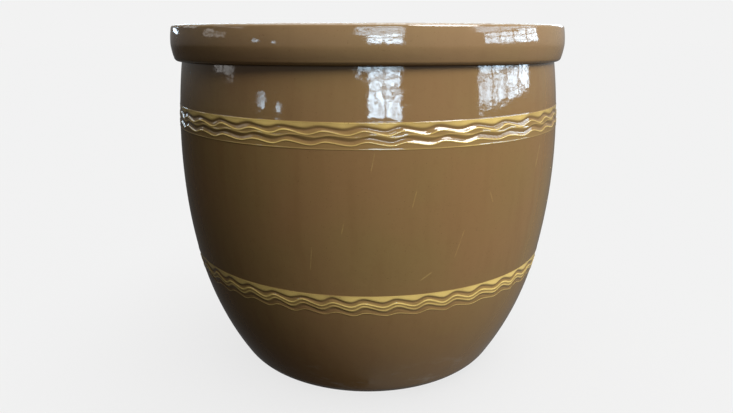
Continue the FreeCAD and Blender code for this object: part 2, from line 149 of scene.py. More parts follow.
class Tree:
    """A node tree being written, for a material, a world or Geometry Nodes."""

    def __init__(self, tree: bpy.types.NodeTree) -> None:
        """Start with an empty tree."""
        self.tree = tree
        tree.nodes.clear()

    def feed(self, socket: bpy.types.NodeSocket, content: Feed) -> None:
        """Link a socket to content, or set the socket to it.

        Args:
            socket: The input socket.
            content: What it takes: a number that flows, another socket or a constant.
        """
        if isinstance(content, Value):
            content = content.socket
        if isinstance(content, bpy.types.NodeSocket):
            self.tree.links.new(content, socket)
        else:
            socket.default_value = content

    def node(self, kind: str, settings: Dict[str, object], sockets: Dict[str, Feed]) -> bpy.types.Node:
        """Add any node.

        Args:
            kind: The node's type.
            settings: Its properties, which are set first.
            sockets: What each input takes, by the input's identifier.

        Returns:
            The node.
        """
        node = self.tree.nodes.new(kind)
        for key, content in settings.items():
            setattr(node, key, content)
        inputs = {socket.identifier: socket for socket in node.inputs}
        for key, content in sockets.items():
            self.feed(inputs[key], content)
        return node

    def value(self, kind: str, settings: Dict[str, object], sockets: Dict[str, Feed]) -> Value:
        """Add any node and wrap its first output."""
        return Value(self, self.node(kind, settings, sockets).outputs[0])

    def math(self, operation: str, *operands: Number) -> Value:
        """Add a Math node.

        Args:
            operation: What it does.
            operands: The numbers that it takes.

        Returns:
            The number that it gives.
        """
        node = self.tree.nodes.new("ShaderNodeMath")
        node.operation = operation
        for socket, operand in zip(node.inputs, operands):
            self.feed(socket, operand)
        return Value(self, node.outputs[0])

    def split(self, vector: Feed) -> Tuple[Value, Value, Value]:
        """The x, y and z of a vector."""
        node = self.node("ShaderNodeSeparateXYZ", {}, {"Vector": vector})
        return tuple(Value(self, socket) for socket in node.outputs)

    def vector(self, x: Number, y: Number, z: Number) -> bpy.types.NodeSocket:
        """A vector from its three numbers."""
        return self.node("ShaderNodeCombineXYZ", {}, {"X": x, "Y": y, "Z": z}).outputs[0]

    def noise(self, where: Feed, scale: float, detail: float, roughness: float) -> Value:
        """Soft random values about 0.5."""
        sockets = {"Vector": where, "Scale": scale, "Detail": detail, "Roughness": roughness}
        return self.value("ShaderNodeTexNoise", {}, sockets)

    def mix(self, share: Feed, first: Feed, second: Feed) -> bpy.types.NodeSocket:
        """Mix two colours.

        Args:
            share: How much of the second, 0 to 1.
            first: The colour under it.
            second: The colour over it.

        Returns:
            The mixed colour.
        """
        sockets = {"Factor_Float": share, "A_Color": first, "B_Color": second}
        node = self.node("ShaderNodeMix", {"data_type": "RGBA", "blend_type": "MIX"}, sockets)
        return next(socket for socket in node.outputs if socket.identifier == "Result_Color")

    def bump(self, height: Value, distance: float,
             under: Optional[bpy.types.NodeSocket] = None) -> bpy.types.NodeSocket:
        """Write fine relief.

        Args:
            height: The relief, 0 to 1.
            distance: What 1 stands for, in metres.
            under: The normal of coarser relief below it.

        Returns:
            The normal.
        """
        sockets = {"Height": height, "Distance": distance, "Strength": 1.0}
        if under is not None:
            sockets["Normal"] = under
        return self.node("ShaderNodeBump", {}, sockets).outputs[0]


# ---------------------------------------------------------------- finishes
@dataclass(frozen=True)
class Finish:
    """A material, made once from its colours and sizes."""

    name: str

    def make(self) -> bpy.types.Material:
        """The material, with its nodes written.

        Returns:
            The material, which later calls return again.
        """
        if self.name in bpy.data.materials:
            return bpy.data.materials[self.name]
        material = bpy.data.materials.new(self.name)
        material.use_nodes = True
        tree = Tree(material.node_tree)
        shader = tree.node("ShaderNodeBsdfPrincipled", {}, self.surface(tree))
        tree.node("ShaderNodeOutputMaterial", {}, {"Surface": shader.outputs[0]})
        return material

    def surface(self, tree: Tree) -> Dict[str, Feed]:
        """What the shader's sockets take, by their identifiers."""
        raise NotImplementedError

    def place(self, tree: Tree) -> bpy.types.NodeSocket:
        """The point of the piece, in the frame."""
        return tree.node("ShaderNodeTexCoord", {}, {}).outputs["Object"]

    def stretched(self, tree: Tree, where: Feed, by: Point3) -> bpy.types.NodeSocket:
        """A point with its three numbers scaled."""
        sockets = {"Vector": where, "Vector_001": by}
        return tree.node("ShaderNodeVectorMath", {"operation": "MULTIPLY"}, sockets).outputs[0]

    def attribute(self, tree: Tree, name: str) -> Value:
        """A number stored on the mesh."""
        node = tree.node("ShaderNodeAttribute", {"attribute_name": name}, {})
        return Value(tree, node.outputs["Fac"])


@dataclass(frozen=True)
class Scratch:
    """A pale rub in the glaze: a short, nearly upright line."""

    angle: float             # degrees from the front towards the right, at its foot
    low: float
    high: float
    slant: float = 0.0       # degrees by which its top lies further right
    half_width: float = 0.11

    def draw(self, angle: Value, z: Value) -> Value:
        """Write the scratch.

        Args:
            angle: Where round the crock a point is, in degrees from the front towards the right.
            z: Its height.

        Returns:
            How much of the scratch shows there, 0 to 1.
        """
        up = (z - self.low) / (self.high - self.low)
        away = (angle - self.angle - up * self.slant) / self.half_width
        return away.bell() * up.rise(0.0, 0.2) * up.rise(1.0, 0.8)


@dataclass(frozen=True)
class CrockGlaze(Finish):
    """Glossy brown ash glaze over stoneware, straw yellow where the combed slip shows through it."""

    rim_top: float
    rim_radius: float
    seam: float                      # the foot of the collar, where the glaze gathers and the crease is darkened with painted shade
    brown: Colour = srgb(107, 81, 50)
    deep_brown: Colour = srgb(92, 66, 37)
    olive: Colour = srgb(104, 83, 49)
    # painted shade in the crease under the collar, together with the glaze that gathers there
    gathered_glaze_and_shade: Colour = srgb(40, 22, 10)
    inner_brown: Colour = srgb(96, 70, 42)
    slip_yellow: Colour = srgb(190, 164, 96)
    slip_olive: Colour = srgb(126, 102, 58)
    collar_brown: Colour = srgb(136, 112, 84)
    # painted highlight: a pale line along the rim's rounded top edge
    rim_painted_highlight: Colour = srgb(164, 160, 152)
    foot_dust: Colour = srgb(134, 130, 122)
    bare_clay: Colour = srgb(176, 132, 96)
    speck: Colour = srgb(70, 46, 22)
    crease_below: float = 0.5 * MM     # from the seam down to the middle of the dark crease line of gathered glaze and painted shade
    crease_half: float = 1.4 * MM
    crease_drop: float = 4.0 * MM      # how much lower it lies at the sides
    bare_below: float = 1.2 * MM     # the flat of the foot has no glaze
    shade_top: float = 0.28          # below it the glaze darkens, down to shade_low
    shade_low: float = 0.06
    dust_top: float = 0.115          # below it dust clings, the most at dust_low
    dust_low: float = 0.03
    scratches: Tuple[Scratch, ...] = (
        Scratch(22.4, 0.318, 0.374, 2.4),
        Scratch(10.4, 0.414, 0.449, 1.2),
        Scratch(50.2, 0.452, 0.498, 2.2, 0.16),
        Scratch(-14.8, 0.302, 0.350, 0.9),
        Scratch(13.2, 0.284, 0.301, 3.6, 0.3),
        Scratch(0.6, 0.474, 0.509, 1.0),
        Scratch(33.0, 0.410, 0.432, -1.4),
        Scratch(-6.4, 0.372, 0.398, 0.8),
        Scratch(141.0, 0.330, 0.392, 2.0),
        Scratch(-128.0, 0.402, 0.455, -1.6),
    )

    def fired(self, tree: Tree, where: Feed, z: Value, outside: Value,
              fine: Value) -> bpy.types.NodeSocket:
        """The colour of the glaze and of the slip under it, as they left the kiln.

        Args:
            tree: The tree being written.
            where: The point of the piece.
            z: Its height.
            outside: 1 on the outer face, 0 on the inner face.
            fine: Fine random values about 0.5.

        Returns:
            The colour.
        """
        clouds = tree.noise(where, 5.0, 4.0, 0.55)
        runs = tree.noise(self.stretched(tree, where, (16.0, 16.0, 1.6)), 3.0, 3.0, 0.5)
        specks = tree.noise(where, 420.0, 1.0, 0.5).rise(0.70, 0.78)
        colour = tree.mix(clouds.rise(0.3, 0.72), self.brown, self.olive)
        colour = tree.mix(runs.rise(0.42, 0.85) * 0.3, colour, self.deep_brown)
        colour = tree.mix(fine.rise(0.52, 0.8) * 0.2, colour, self.deep_brown)
        colour = tree.mix(z.rise(self.shade_top, self.shade_low) * 0.5, colour, self.deep_brown)
        on_collar = z.rise(self.seam + 1.5 * MM, self.seam + 9.5 * MM)
        colour = tree.mix(on_collar * 0.3, colour, self.collar_brown)
        colour = tree.mix(1.0 - outside, colour, self.inner_brown)
        slip = self.attribute(tree, SLIP) * (0.74 + clouds.rise(0.34, 0.6) * 0.3)
        slip_tint = tree.mix(slip.rise(0.4, 0.95), self.slip_olive, self.slip_yellow)
        colour = tree.mix(slip.rise(0.0, 0.7), colour, slip_tint)
        return tree.mix(specks * 0.5, colour, self.speck)

    def crease_glaze_and_shade(self, x: Value, z: Value, from_axis: Value) -> Value:
        """Write the dark line in the crease under the collar: glaze that has gathered there, darkened further
        with painted shade.

        Args:
            x: How far right a point is.
            z: Its height.
            from_axis: How far it is from the crock's axis.

        Returns:
            How dark the crease is there, from gathered glaze and painted shade, 0 to 1.
        """
        sideways = x / from_axis
        crease = self.seam - self.crease_below - sideways * sideways * self.crease_drop
        return ((z - crease) / self.crease_half).bell()

    def rubbed(self, tree: Tree, x: Value, y: Value, z: Value) -> Value:
        """Write all the scratches.

        Args:
            tree: The tree being written.
            x: How far right a point is.
            y: How far back it is.
            z: Its height.

        Returns:
            How much of any scratch shows there.
        """
        angle = tree.math("ARCTAN2", x, -y) * math.degrees(1.0)
        first, *others = [scratch.draw(angle, z) for scratch in self.scratches]
        return sum(others, first)

    def relief(self, tree: Tree, where: Feed) -> bpy.types.NodeSocket:
        """Write the relief of the fired glaze, from its broad ripple down to its orange peel.

        Args:
            tree: The tree being written.
            where: The point of the piece.

        Returns:
            The normal.
        """
        ripple = tree.noise(self.stretched(tree, where, (1.0, 1.0, 1.5)), 34.0, 2.0, 0.45)
        crinkle = tree.noise(self.stretched(tree, where, (1.0, 1.0, 0.6)), 105.0, 2.0, 0.5)
        peel = tree.noise(where, 160.0, 2.0, 0.5)
        normal = tree.bump(ripple, 0.32 * MM)
        normal = tree.bump(crinkle, 0.07 * MM, normal)
        return tree.bump(peel, 0.035 * MM, normal)

    def surface(self, tree: Tree) -> Dict[str, Feed]:
        """Write the finish's patterns.

        Args:
            tree: The tree being written.

        Returns:
            What the shader's sockets take, by their identifiers.
        """
        where = self.place(tree)
        x, y, z = tree.split(where)
        outside = self.attribute(tree, OUTSIDE)
        fine = tree.noise(where, 90.0, 3.0, 0.6)
        colour = self.fired(tree, where, z, outside, fine)
        from_axis = tree.math("SQRT", x * x + y * y)
        # painted shade: the crease under the collar is darkened, together with the glaze gathered there
        colour = tree.mix(self.crease_glaze_and_shade(x, z, from_axis) * outside * 0.45, colour, self.gathered_glaze_and_shade)
        # painted highlight along the rim's rounded outer top edge, broken up by fine noise
        edge = z.rise(self.rim_top - 3.5 * MM, self.rim_top - 0.8 * MM) * outside
        edge = edge * from_axis.rise(self.rim_radius - 12 * MM, self.rim_radius - 5 * MM)
        colour = tree.mix(edge * (0.3 + fine.rise(0.4, 0.6) * 0.4), colour, self.rim_painted_highlight)
        rubbed = self.rubbed(tree, x, y, z) * outside * fine.rise(0.3, 0.6)
        colour = tree.mix(rubbed * 0.19, colour, self.slip_yellow)
        dust = tree.noise(self.stretched(tree, where, (1.0, 1.0, 2.6)), 15.0, 5.0, 0.68)
        dust = dust.rise(0.52, 0.72) * z.rise(self.dust_top, self.dust_low) * outside
        colour = tree.mix(dust * 0.34, colour, self.foot_dust)
        bare = z.rise(self.bare_below * 2, self.bare_below) * outside
        scuffs = tree.noise(self.stretched(tree, where, (1.0, 1.0, 7.0)), 26.0, 4.0, 0.65)
        return {
            "Base Color": tree.mix(bare, colour, self.bare_clay),
            "Roughness": 0.06 + scuffs.rise(0.5, 0.85) * 0.12 + bare * 0.6 + rubbed * 0.2,
            "IOR": 1.5,
            "Normal": self.relief(tree, where),
        }


@dataclass(frozen=True)
class WeightGlaze(Finish):
    """Satin brown glaze, clouded with a lighter brown and speckled; the underside is bare clay."""

    underside: float                 # its height
    brown: Colour = srgb(96, 66, 40)
    light: Colour = srgb(132, 98, 62)
    dark: Colour = srgb(56, 36, 22)
    bare_clay: Colour = srgb(186, 148, 112)
    bare_rise: float = 2.26 * MM     # how far the bare clay reaches up from the underside

    def surface(self, tree: Tree) -> Dict[str, Feed]:
        """Write the finish's patterns.

        Args:
            tree: The tree being written.

        Returns:
            What the shader's sockets take, by their identifiers.
        """
        where = self.place(tree)
        z = tree.split(where)[2]
        clouds = tree.noise(where, 12.0, 4.0, 0.6)
        specks = tree.noise(where, 300.0, 2.0, 0.6).rise(0.62, 0.72)
        colour = tree.mix(clouds.rise(0.3, 0.7), self.brown, self.light)
        colour = tree.mix(specks * 0.8, colour, self.dark)
        bare_top = self.underside + self.bare_rise
        bare = z.rise(bare_top + 1.5 * MM, bare_top)
        colour = tree.mix(bare, colour, self.bare_clay)
        normal = tree.bump(tree.noise(where, 60.0, 3.0, 0.5), 0.3 * MM)
        normal = tree.bump(tree.noise(where, 500.0, 2.0, 0.5), 0.04 * MM, normal)
        return {
            "Base Color": colour,
            "Roughness": 0.16 + clouds.rise(0.4, 0.8) * 0.14 + bare * 0.5,
            "Normal": normal,
        }


class Grain(Enum):
    """The axis that a timber's grain follows."""

    SIDEWAYS = "X"
    FRONT_TO_BACK = "Y"


@dataclass(frozen=True)
class Timber(Finish):
    """Planed softwood, its grain along one axis, with darker late wood and stains from the brine."""

    grain: Grain = Grain.SIDEWAYS
    early: Colour = srgb(176, 138, 92)
    late: Colour = srgb(124, 84, 48)
    stain: Colour = srgb(82, 60, 38)
    ring: float = 9 * MM

    def surface(self, tree: Tree) -> Dict[str, Feed]:
        """Write the finish's patterns.

        Args:
            tree: The tree being written.

        Returns:
            What the shader's sockets take, by their identifiers.
        """
        x, y, z = tree.split(self.place(tree))
        run, across = (x, y) if self.grain is Grain.SIDEWAYS else (y, x)
        shift = self.attribute(tree, GRAIN_SHIFT)
        run = run + shift * 3.7
        across = across + shift * 0.31
        wander = tree.noise(tree.vector(run * 1.6, across * 9.0, z * 9.0), 1.0, 2.0, 0.5)
        rings = (across + z * 0.35 + (wander - 0.5) * 0.11) / self.ring
        late = rings % 1.0
        late = late.rise(0.25, 0.95) * late.rise(1.0, 0.93)
        fibre = tree.noise(tree.vector(run * 9.0, across * 420.0, z * 420.0), 1.0, 3.0, 0.6)
        blotch = tree.noise(tree.vector(run * 5.0, across * 14.0, z * 14.0), 1.0, 3.0, 0.6)
        colour = tree.mix(late * 0.75, self.early, self.late)
        tone = (shift * 2.9).sin() * 0.5 + 0.5
        colour = tree.mix(tone * 0.38, colour, self.late)
        colour = tree.mix(fibre.rise(0.45, 0.8) * 0.45, colour, self.late)
        colour = tree.mix(blotch.rise(0.52, 0.85) * 0.5, colour, self.stain)
        height = late * 0.5 + fibre * 0.5
        return {
            "Base Color": colour,
            "Roughness": 0.52 + fibre * 0.22,
            "Normal": tree.bump(height, 0.22 * MM),
        }


@dataclass(frozen=True)
class Bamboo(Finish):
    """Split bamboo for pegs: pale, with dark strands that show as dots in the end grain."""

    pale: Colour = srgb(222, 192, 136)
    strand: Colour = srgb(150, 112, 66)

    def surface(self, tree: Tree) -> Dict[str, Feed]:
        """Write the finish's patterns.

        Args:
            tree: The tree being written.

        Returns:
            What the shader's sockets take, by their identifiers.
        """
        where = self.place(tree)
        dots = tree.noise(self.stretched(tree, where, (1.0, 1.0, 0.05)), 900.0, 1.0, 0.5)
        dots = dots.rise(0.55, 0.68)
        tone = tree.noise(where, 60.0, 2.0, 0.5)
        colour = tree.mix(tone * 0.4, self.pale, self.strand)
        colour = tree.mix(dots * 0.7, colour, self.strand)
        return {
            "Base Color": colour,
            "Roughness": 0.5 + tone * 0.15,
            "Normal": tree.bump(dots, 0.1 * MM),
        }


@dataclass(frozen=True)
class FloorPaint(Finish):
    """The plain pale floor."""

    pale: Colour = (0.13, 0.13, 0.13, 1.0)
    glow: float = 0.768       # keeps its shadows light

    def surface(self, tree: Tree) -> Dict[str, Feed]:
        """Write the finish's patterns.

        Args:
            tree: The tree being written.

        Returns:
            What the shader's sockets take, by their identifiers.
        """
        return {
            "Base Color": self.pale,
            "Roughness": 0.9,
            "Specular IOR Level": 0.0,
            "Emission Color": (1.0, 1.0, 1.0, 1.0),
            "Emission Strength": self.glow,
        }


# ---------------------------------------------------------------- mesh tools
def arc_points(centre: Point2, radius: float, start: float, end: float, count: int) -> List[Point2]:
    """Points along an arc.

    Args:
        centre: The arc's centre.
        radius: Its radius.
        start: The angle of the first point, in degrees.
        end: The angle of the last point.
        count: How many points.

    Returns:
        The points, both ends among them.
    """
    angles = [math.radians(start + (end - start) * i / (count - 1)) for i in range(count)]
    return [(centre[0] + radius * math.cos(a), centre[1] + radius * math.sin(a)) for a in angles]


def spread(low: float, high: float, step: float) -> List[float]:
    """Numbers from low to high, evenly spaced by about step; high itself is left out."""
    count = max(1, round(abs(high - low) / step))
    return [low + (high - low) * i / count for i in range(count)]


def between(first: Point2, second: Point2, share: float) -> Point2:
    """The point a share of the way from the first to the second."""
    return first[0] + (second[0] - first[0]) * share, first[1] + (second[1] - first[1]) * share


def new_piece(name: str, data: bpy.types.ID) -> bpy.types.Object:
    """A new object in the scene, at the origin."""
    piece = bpy.data.objects.new(name, data)
    bpy.context.scene.collection.objects.link(piece)
    return piece


def tidy_mesh(mesh: bpy.types.Mesh, sharp: float) -> None:
    """Merge doubles, turn the faces outward and shade the mesh smooth between its sharp edges.

    Args:
        mesh: The mesh.
        sharp: Edges that turn by more than this, in degrees, stay sharp.
    """
    work = bmesh.new()
    work.from_mesh(mesh)
    bmesh.ops.remove_doubles(work, verts=work.verts, dist=1e-6)
    bmesh.ops.dissolve_degenerate(work, edges=work.edges, dist=1e-7)
    bmesh.ops.recalc_face_normals(work, faces=work.faces)
    work.to_mesh(mesh)
    work.free()
    mesh.shade_smooth()
    mesh.set_sharp_from_angle(angle=math.radians(sharp))


def loft(name: str, loops: Sequence[Sequence[Point3]], ring: bool = False,
         sharp: float = 40.0) -> bpy.types.Object:
    """A closed piece through loops of points.

    Args:
        name: The piece's name.
        loops: Loops with the same number of points each.
        ring: Whether the last loop joins the first; otherwise both ends are capped.
        sharp: Edges that turn by more than this, in degrees, stay sharp.

    Returns:
        The piece.
    """
    size = len(loops[0])
    points = [point for loop in loops for point in loop]
    last = len(loops) if ring else len(loops) - 1
    faces = []
    for i in range(last):
        here, there = i * size, (i + 1) % len(loops) * size
        for j in range(size):
            k = (j + 1) % size
            faces.append((here + j, here + k, there + k, there + j))
    if not ring:
        faces.append(tuple(range(size)))
        faces.append(tuple(range((len(loops) - 1) * size, len(loops) * size)))
    mesh = bpy.data.meshes.new(name)
    mesh.from_pydata(points, [], faces)
    tidy_mesh(mesh, sharp)
    return new_piece(name, mesh)


def bake_modifiers(piece: bpy.types.Object, sharp: float = 40.0) -> bpy.types.Object:
    """Make a piece's modifiers part of its plain mesh, and remove them.

    Args:
        piece: The piece.
        sharp: Edges that turn by more than this, in degrees, stay sharp.

    Returns:
        The piece.
    """
    graph = bpy.context.evaluated_depsgraph_get()
    mesh = bpy.data.meshes.new_from_object(piece.evaluated_get(graph), preserve_all_data_layers=True,
                                           depsgraph=graph)
    piece.modifiers.clear()
    piece.data = mesh
    mesh.name = piece.name
    tidy_mesh(mesh, sharp)
    return piece


def ease_edges(piece: bpy.types.Object, width: float) -> bpy.types.Object:
    """Round the sharp edges of a piece.

    Args:
        piece: The piece.
        width: How wide the rounds are.

    Returns:
        The piece.
    """
    bevel = piece.modifiers.new("eased", "BEVEL")
    bevel.width = width
    bevel.segments = 2
    bevel.limit_method = "ANGLE"
    bevel.angle_limit = math.radians(40)
    return bake_modifiers(piece)


def mark(piece: bpy.types.Object, name: str, content: float) -> None:
    """Store one number on all points of a piece."""
    layer = piece.data.attributes.new(name, "FLOAT", "POINT")
    layer.data.foreach_set("value", [content] * len(piece.data.vertices))


def hand_over(piece: bpy.types.Object, body: str, slot: str, *nodes: str) -> None:
    """Tell the frame about a finished piece.

    Args:
        piece: The piece.
        body: The body that it rides on.
        slot: The slot of its finish; not used.
        nodes: The nodes that it stands for.
    """
    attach(piece, body)
    if nodes:
        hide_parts(*nodes)
    triangles = sum(len(polygon.vertices) - 2 for polygon in piece.data.polygons)
    log.info("%s: %d triangles, rides on %s", piece.name, triangles, body)


def dress(piece: bpy.types.Object, finish: Finish) -> None:
    """Give a piece one finish all over."""
    piece.data.materials.clear()
    piece.data.materials.append(finish.make())


# ---------------------------------------------------------------- geometry trees
class GeometryTree(Tree):
    """A Geometry Nodes tree with named inputs."""

    def __init__(self, name: str) -> None:
        """Start a tree that takes and gives geometry.

        Args:
            name: The tree's name.
        """
        group = bpy.data.node_groups.new(name, "GeometryNodeTree")
        super().__init__(group)
        group.interface.new_socket("Geometry", in_out="INPUT", socket_type="NodeSocketGeometry")
        group.interface.new_socket("Geometry", in_out="OUTPUT", socket_type="NodeSocketGeometry")

    def inputs(self, kinds: Dict[str, str]) -> Dict[str, Value]:
        """Add the tree's inputs.

        Args:
            kinds: The socket type of each, by name.

        Returns:
            What they carry into the tree, by name, the geometry among them.
        """
        for name, kind in kinds.items():
            self.tree.interface.new_socket(name, in_out="INPUT", socket_type=kind)
        entry = self.tree.nodes.new("NodeGroupInput")
        return {socket.name: Value(self, socket) for socket in entry.outputs if socket.name}

    def sample(self, geometry: Feed, kind: str, content: Feed, index: Value) -> Value:
        """What the point of that index holds, in some geometry."""
        sockets = {"Geometry": geometry, "Value": content, "Index": index}
        return self.value("GeometryNodeSampleIndex", {"data_type": kind}, sockets)

    def store(self, geometry: Feed, name: str, content: Feed) -> Value:
        """The geometry, with a number stored on its points."""
        settings = {"data_type": "FLOAT", "domain": "POINT"}
        sockets = {"Geometry": geometry, "Name": name, "Value": content}
        return self.value("GeometryNodeStoreNamedAttribute", settings, sockets)

    def position(self) -> Value:
        """Where a point is."""
        return self.value("GeometryNodeInputPosition", {}, {})

    def move(self, geometry: Feed, place: Feed) -> Value:
        """The geometry, with its points moved to other places."""
        return self.value("GeometryNodeSetPosition", {}, {"Geometry": geometry, "Position": place})

    def finish(self, geometry: Feed, material: Feed) -> bpy.types.NodeTree:
        """End the tree with real geometry that has its material.

        Args:
            geometry: What the tree has made.
            material: Its material.

        Returns:
            The finished tree.
        """
        real = self.value("GeometryNodeRealizeInstances", {}, {"Geometry": geometry})
        dressed = self.value("GeometryNodeSetMaterial", {}, {"Geometry": real, "Material": material})
        exit_node = self.tree.nodes.new("NodeGroupOutput")
        self.feed(exit_node.inputs[0], dressed)
        return self.tree


def grow(piece: bpy.types.Object, group: bpy.types.NodeTree, inputs: Dict[str, object],
         sharp: float) -> bpy.types.Object:
    """Run a Geometry Nodes tree on a piece and keep the result as its plain mesh.

    Args:
        piece: The piece, which holds the points that the tree starts from.
        group: The tree.
        inputs: What the tree's inputs take, by name.
        sharp: Edges that turn by more than this, in degrees, stay sharp.

    Returns:
        The piece.
    """
    modifier = piece.modifiers.new("grown", "NODES")
    modifier.node_group = group
    for item in group.interface.items_tree:
        if item.in_out == "INPUT" and item.name in inputs:
            modifier[item.identifier] = inputs[item.name]
    return bake_modifiers(piece, sharp)


# ---------------------------------------------------------------- the combed bands
class Mark(Enum):
    """What a line round a band is: cut by a fingertip, or left standing."""

    GROOVE = "groove"
    RIDGE = "ridge"


@dataclass(frozen=True)
class Line:
    """One line round a band."""

    kind: Mark
    below: float             # from the band's top edge to the line's middle height
    swing: float             # how far it waves up and down from there
    lag: float = 0.0         # degrees by which its crests come after the first line's
    half_width: float = 3.2 * MM
    relief: float = 0.9 * MM
    slip: float = 0.0        # how pale the line is
    fill_above: float = 0.8  # how pale the clay above a groove is


@dataclass(frozen=True)
class CombedBand:
    """A band of pale slip with wavy lines drawn through it by fingertips."""

    top: float
    depth: float
    waves: int
    crest: float                  # degrees from the front to a crest of the first line
    lowest_fill: float
    wavy_foot: bool               # whether the band ends along its last line
    lines: Tuple[Line, ...]
    seed: float
    skew: float = 0.25            # how much steeper the lines rise than they fall
    layer: float = 0.25 * MM      # thickness of the slip
    edge: float = 0.7 * MM        # softness of the band's own edges

    def height_of(self, tree: Tree, line: Line, angle: Value, sway: Value, wander: Value) -> Value:
        """How high a line runs.

        Args:
            tree: The tree being written; not used.
            line: The line.
            angle: Where round the crock, in radians from the front.
            sway: A slow random value about 0 that shifts the waves sideways.
            wander: A slow random value about 0 that lifts and swells them.

        Returns:
            The line's height.
        """
        turn = (angle - math.radians(self.crest + line.lag) + sway * math.radians(5.0)) * self.waves
        turn = turn + (math.pi / 2 - self.skew)
        wave = (turn + turn.sin() * self.skew).sin()
        swing = line.swing * (1.0 + wander * 1.4)
        return self.top - line.below + wave * swing + wander * 2.5 * MM

    def draw(self, tree: Tree, angle: Value, z: Value) -> Tuple[Value, Value]:
        """Write the band's relief and slip.

        Args:
            tree: The tree being written.
            angle: Where round the crock, in radians from the front.
            z: The height.

        Returns:
            How far the surface moves outward, in metres, and how pale it is, 0 to 1.
        """
        ring = tree.vector(angle.sin() * 1.6, angle.cos() * 1.6, self.seed)
        sway = tree.noise(ring, 1.4, 1.0, 0.4) - 0.5
        slip: Number = self.lowest_fill
        relief: Number = self.layer
        foot: Number = self.top - self.depth
        for number, line in enumerate(self.lines):
            own = tree.vector(angle.sin() * 1.6, angle.cos() * 1.6, self.seed + 3.1 + number * 0.35)
            wander = tree.noise(own, 2.6, 1.0, 0.4) - 0.5
            height = self.height_of(tree, line, angle, sway, wander)
            away = z - height
            strength = (away / line.half_width).bell()
            if line.kind is Mark.GROOVE:
                above = away.rise(-1.5 * MM, 1.5 * MM)
                slip = slip + (line.fill_above - slip) * above
            slip = slip + (line.slip - slip) * strength
            sign = -1.0 if line.kind is Mark.GROOVE else 1.0
            relief = relief + strength * (sign * line.relief)
            if self.wavy_foot and number == 0:
                foot = height - line.half_width * 1.3
        inside = (z - foot).rise(-self.edge, self.edge) * (self.top - z).rise(-self.edge, self.edge)
        return relief * inside, slip * inside


UPPER_BAND = CombedBand(
    top=0.5538, depth=42.4 * MM, waves=38, crest=-1.8, lowest_fill=0.36, wavy_foot=False, seed=2.0,
    lines=(
        Line(Mark.RIDGE, 42.0 * MM, 0.0, 0.0, 0.8 * MM, 0.4 * MM, 0.8),
        Line(Mark.GROOVE, 27.4 * MM, 2.6 * MM, 1.6, 3.2 * MM, 1.3 * MM, 0.18, 0.45),
        Line(Mark.RIDGE, 33.2 * MM, 2.7 * MM, 1.6, 1.1 * MM, 0.8 * MM, 0.95),
        Line(Mark.RIDGE, 21.8 * MM, 2.0 * MM, 2.8, 1.6 * MM, 0.5 * MM, 0.7),
        Line(Mark.GROOVE, 11.0 * MM, 2.5 * MM, 0.0, 3.2 * MM, 1.4 * MM, 0.16, 0.8),
        Line(Mark.RIDGE, 16.6 * MM, 3.2 * MM, 0.9, 1.1 * MM, 0.8 * MM, 0.95),
        Line(Mark.RIDGE, 0.9 * MM, 0.0, 0.0, 0.9 * MM, 0.3 * MM, 0.85),
    ),
)

LOWER_BAND = CombedBand(
    top=0.2588, depth=44.0 * MM, waves=42, crest=-0.9, lowest_fill=0.06, wavy_foot=True, seed=7.0,
    lines=(
        Line(Mark.RIDGE, 36.4 * MM, 2.9 * MM, 0.9, 0.9 * MM, 0.5 * MM, 0.85),
        Line(Mark.GROOVE, 30.6 * MM, 4.0 * MM, 0.6, 2.8 * MM, 1.0 * MM, 0.05, 0.5),
        Line(Mark.RIDGE, 24.8 * MM, 4.3 * MM, 0.4, 1.4 * MM, 0.6 * MM, 0.8),
        Line(Mark.GROOVE, 11.6 * MM, 3.5 * MM, 0.0, 2.8 * MM, 1.3 * MM, 0.06, 0.86),
        Line(Mark.RIDGE, 18.2 * MM, 4.2 * MM, 0.2, 1.4 * MM, 0.8 * MM, 0.95),
        Line(Mark.RIDGE, 0.9 * MM, 0.0, 0.0, 0.8 * MM, 0.2 * MM, 0.85),
    ),
)


# ---------------------------------------------------------------- the crock
@dataclass(frozen=True)
class OutlinePoint:
    """A point of a ring's section."""

    radius: float
    height: float
    outside: float     # 1 on the outer face, 0 on the inner face


def face(points: Sequence[Point2], outside: float) -> List[OutlinePoint]:
    """The points of one face of a section."""
    return [OutlinePoint(radius, height, outside) for radius, height in points]


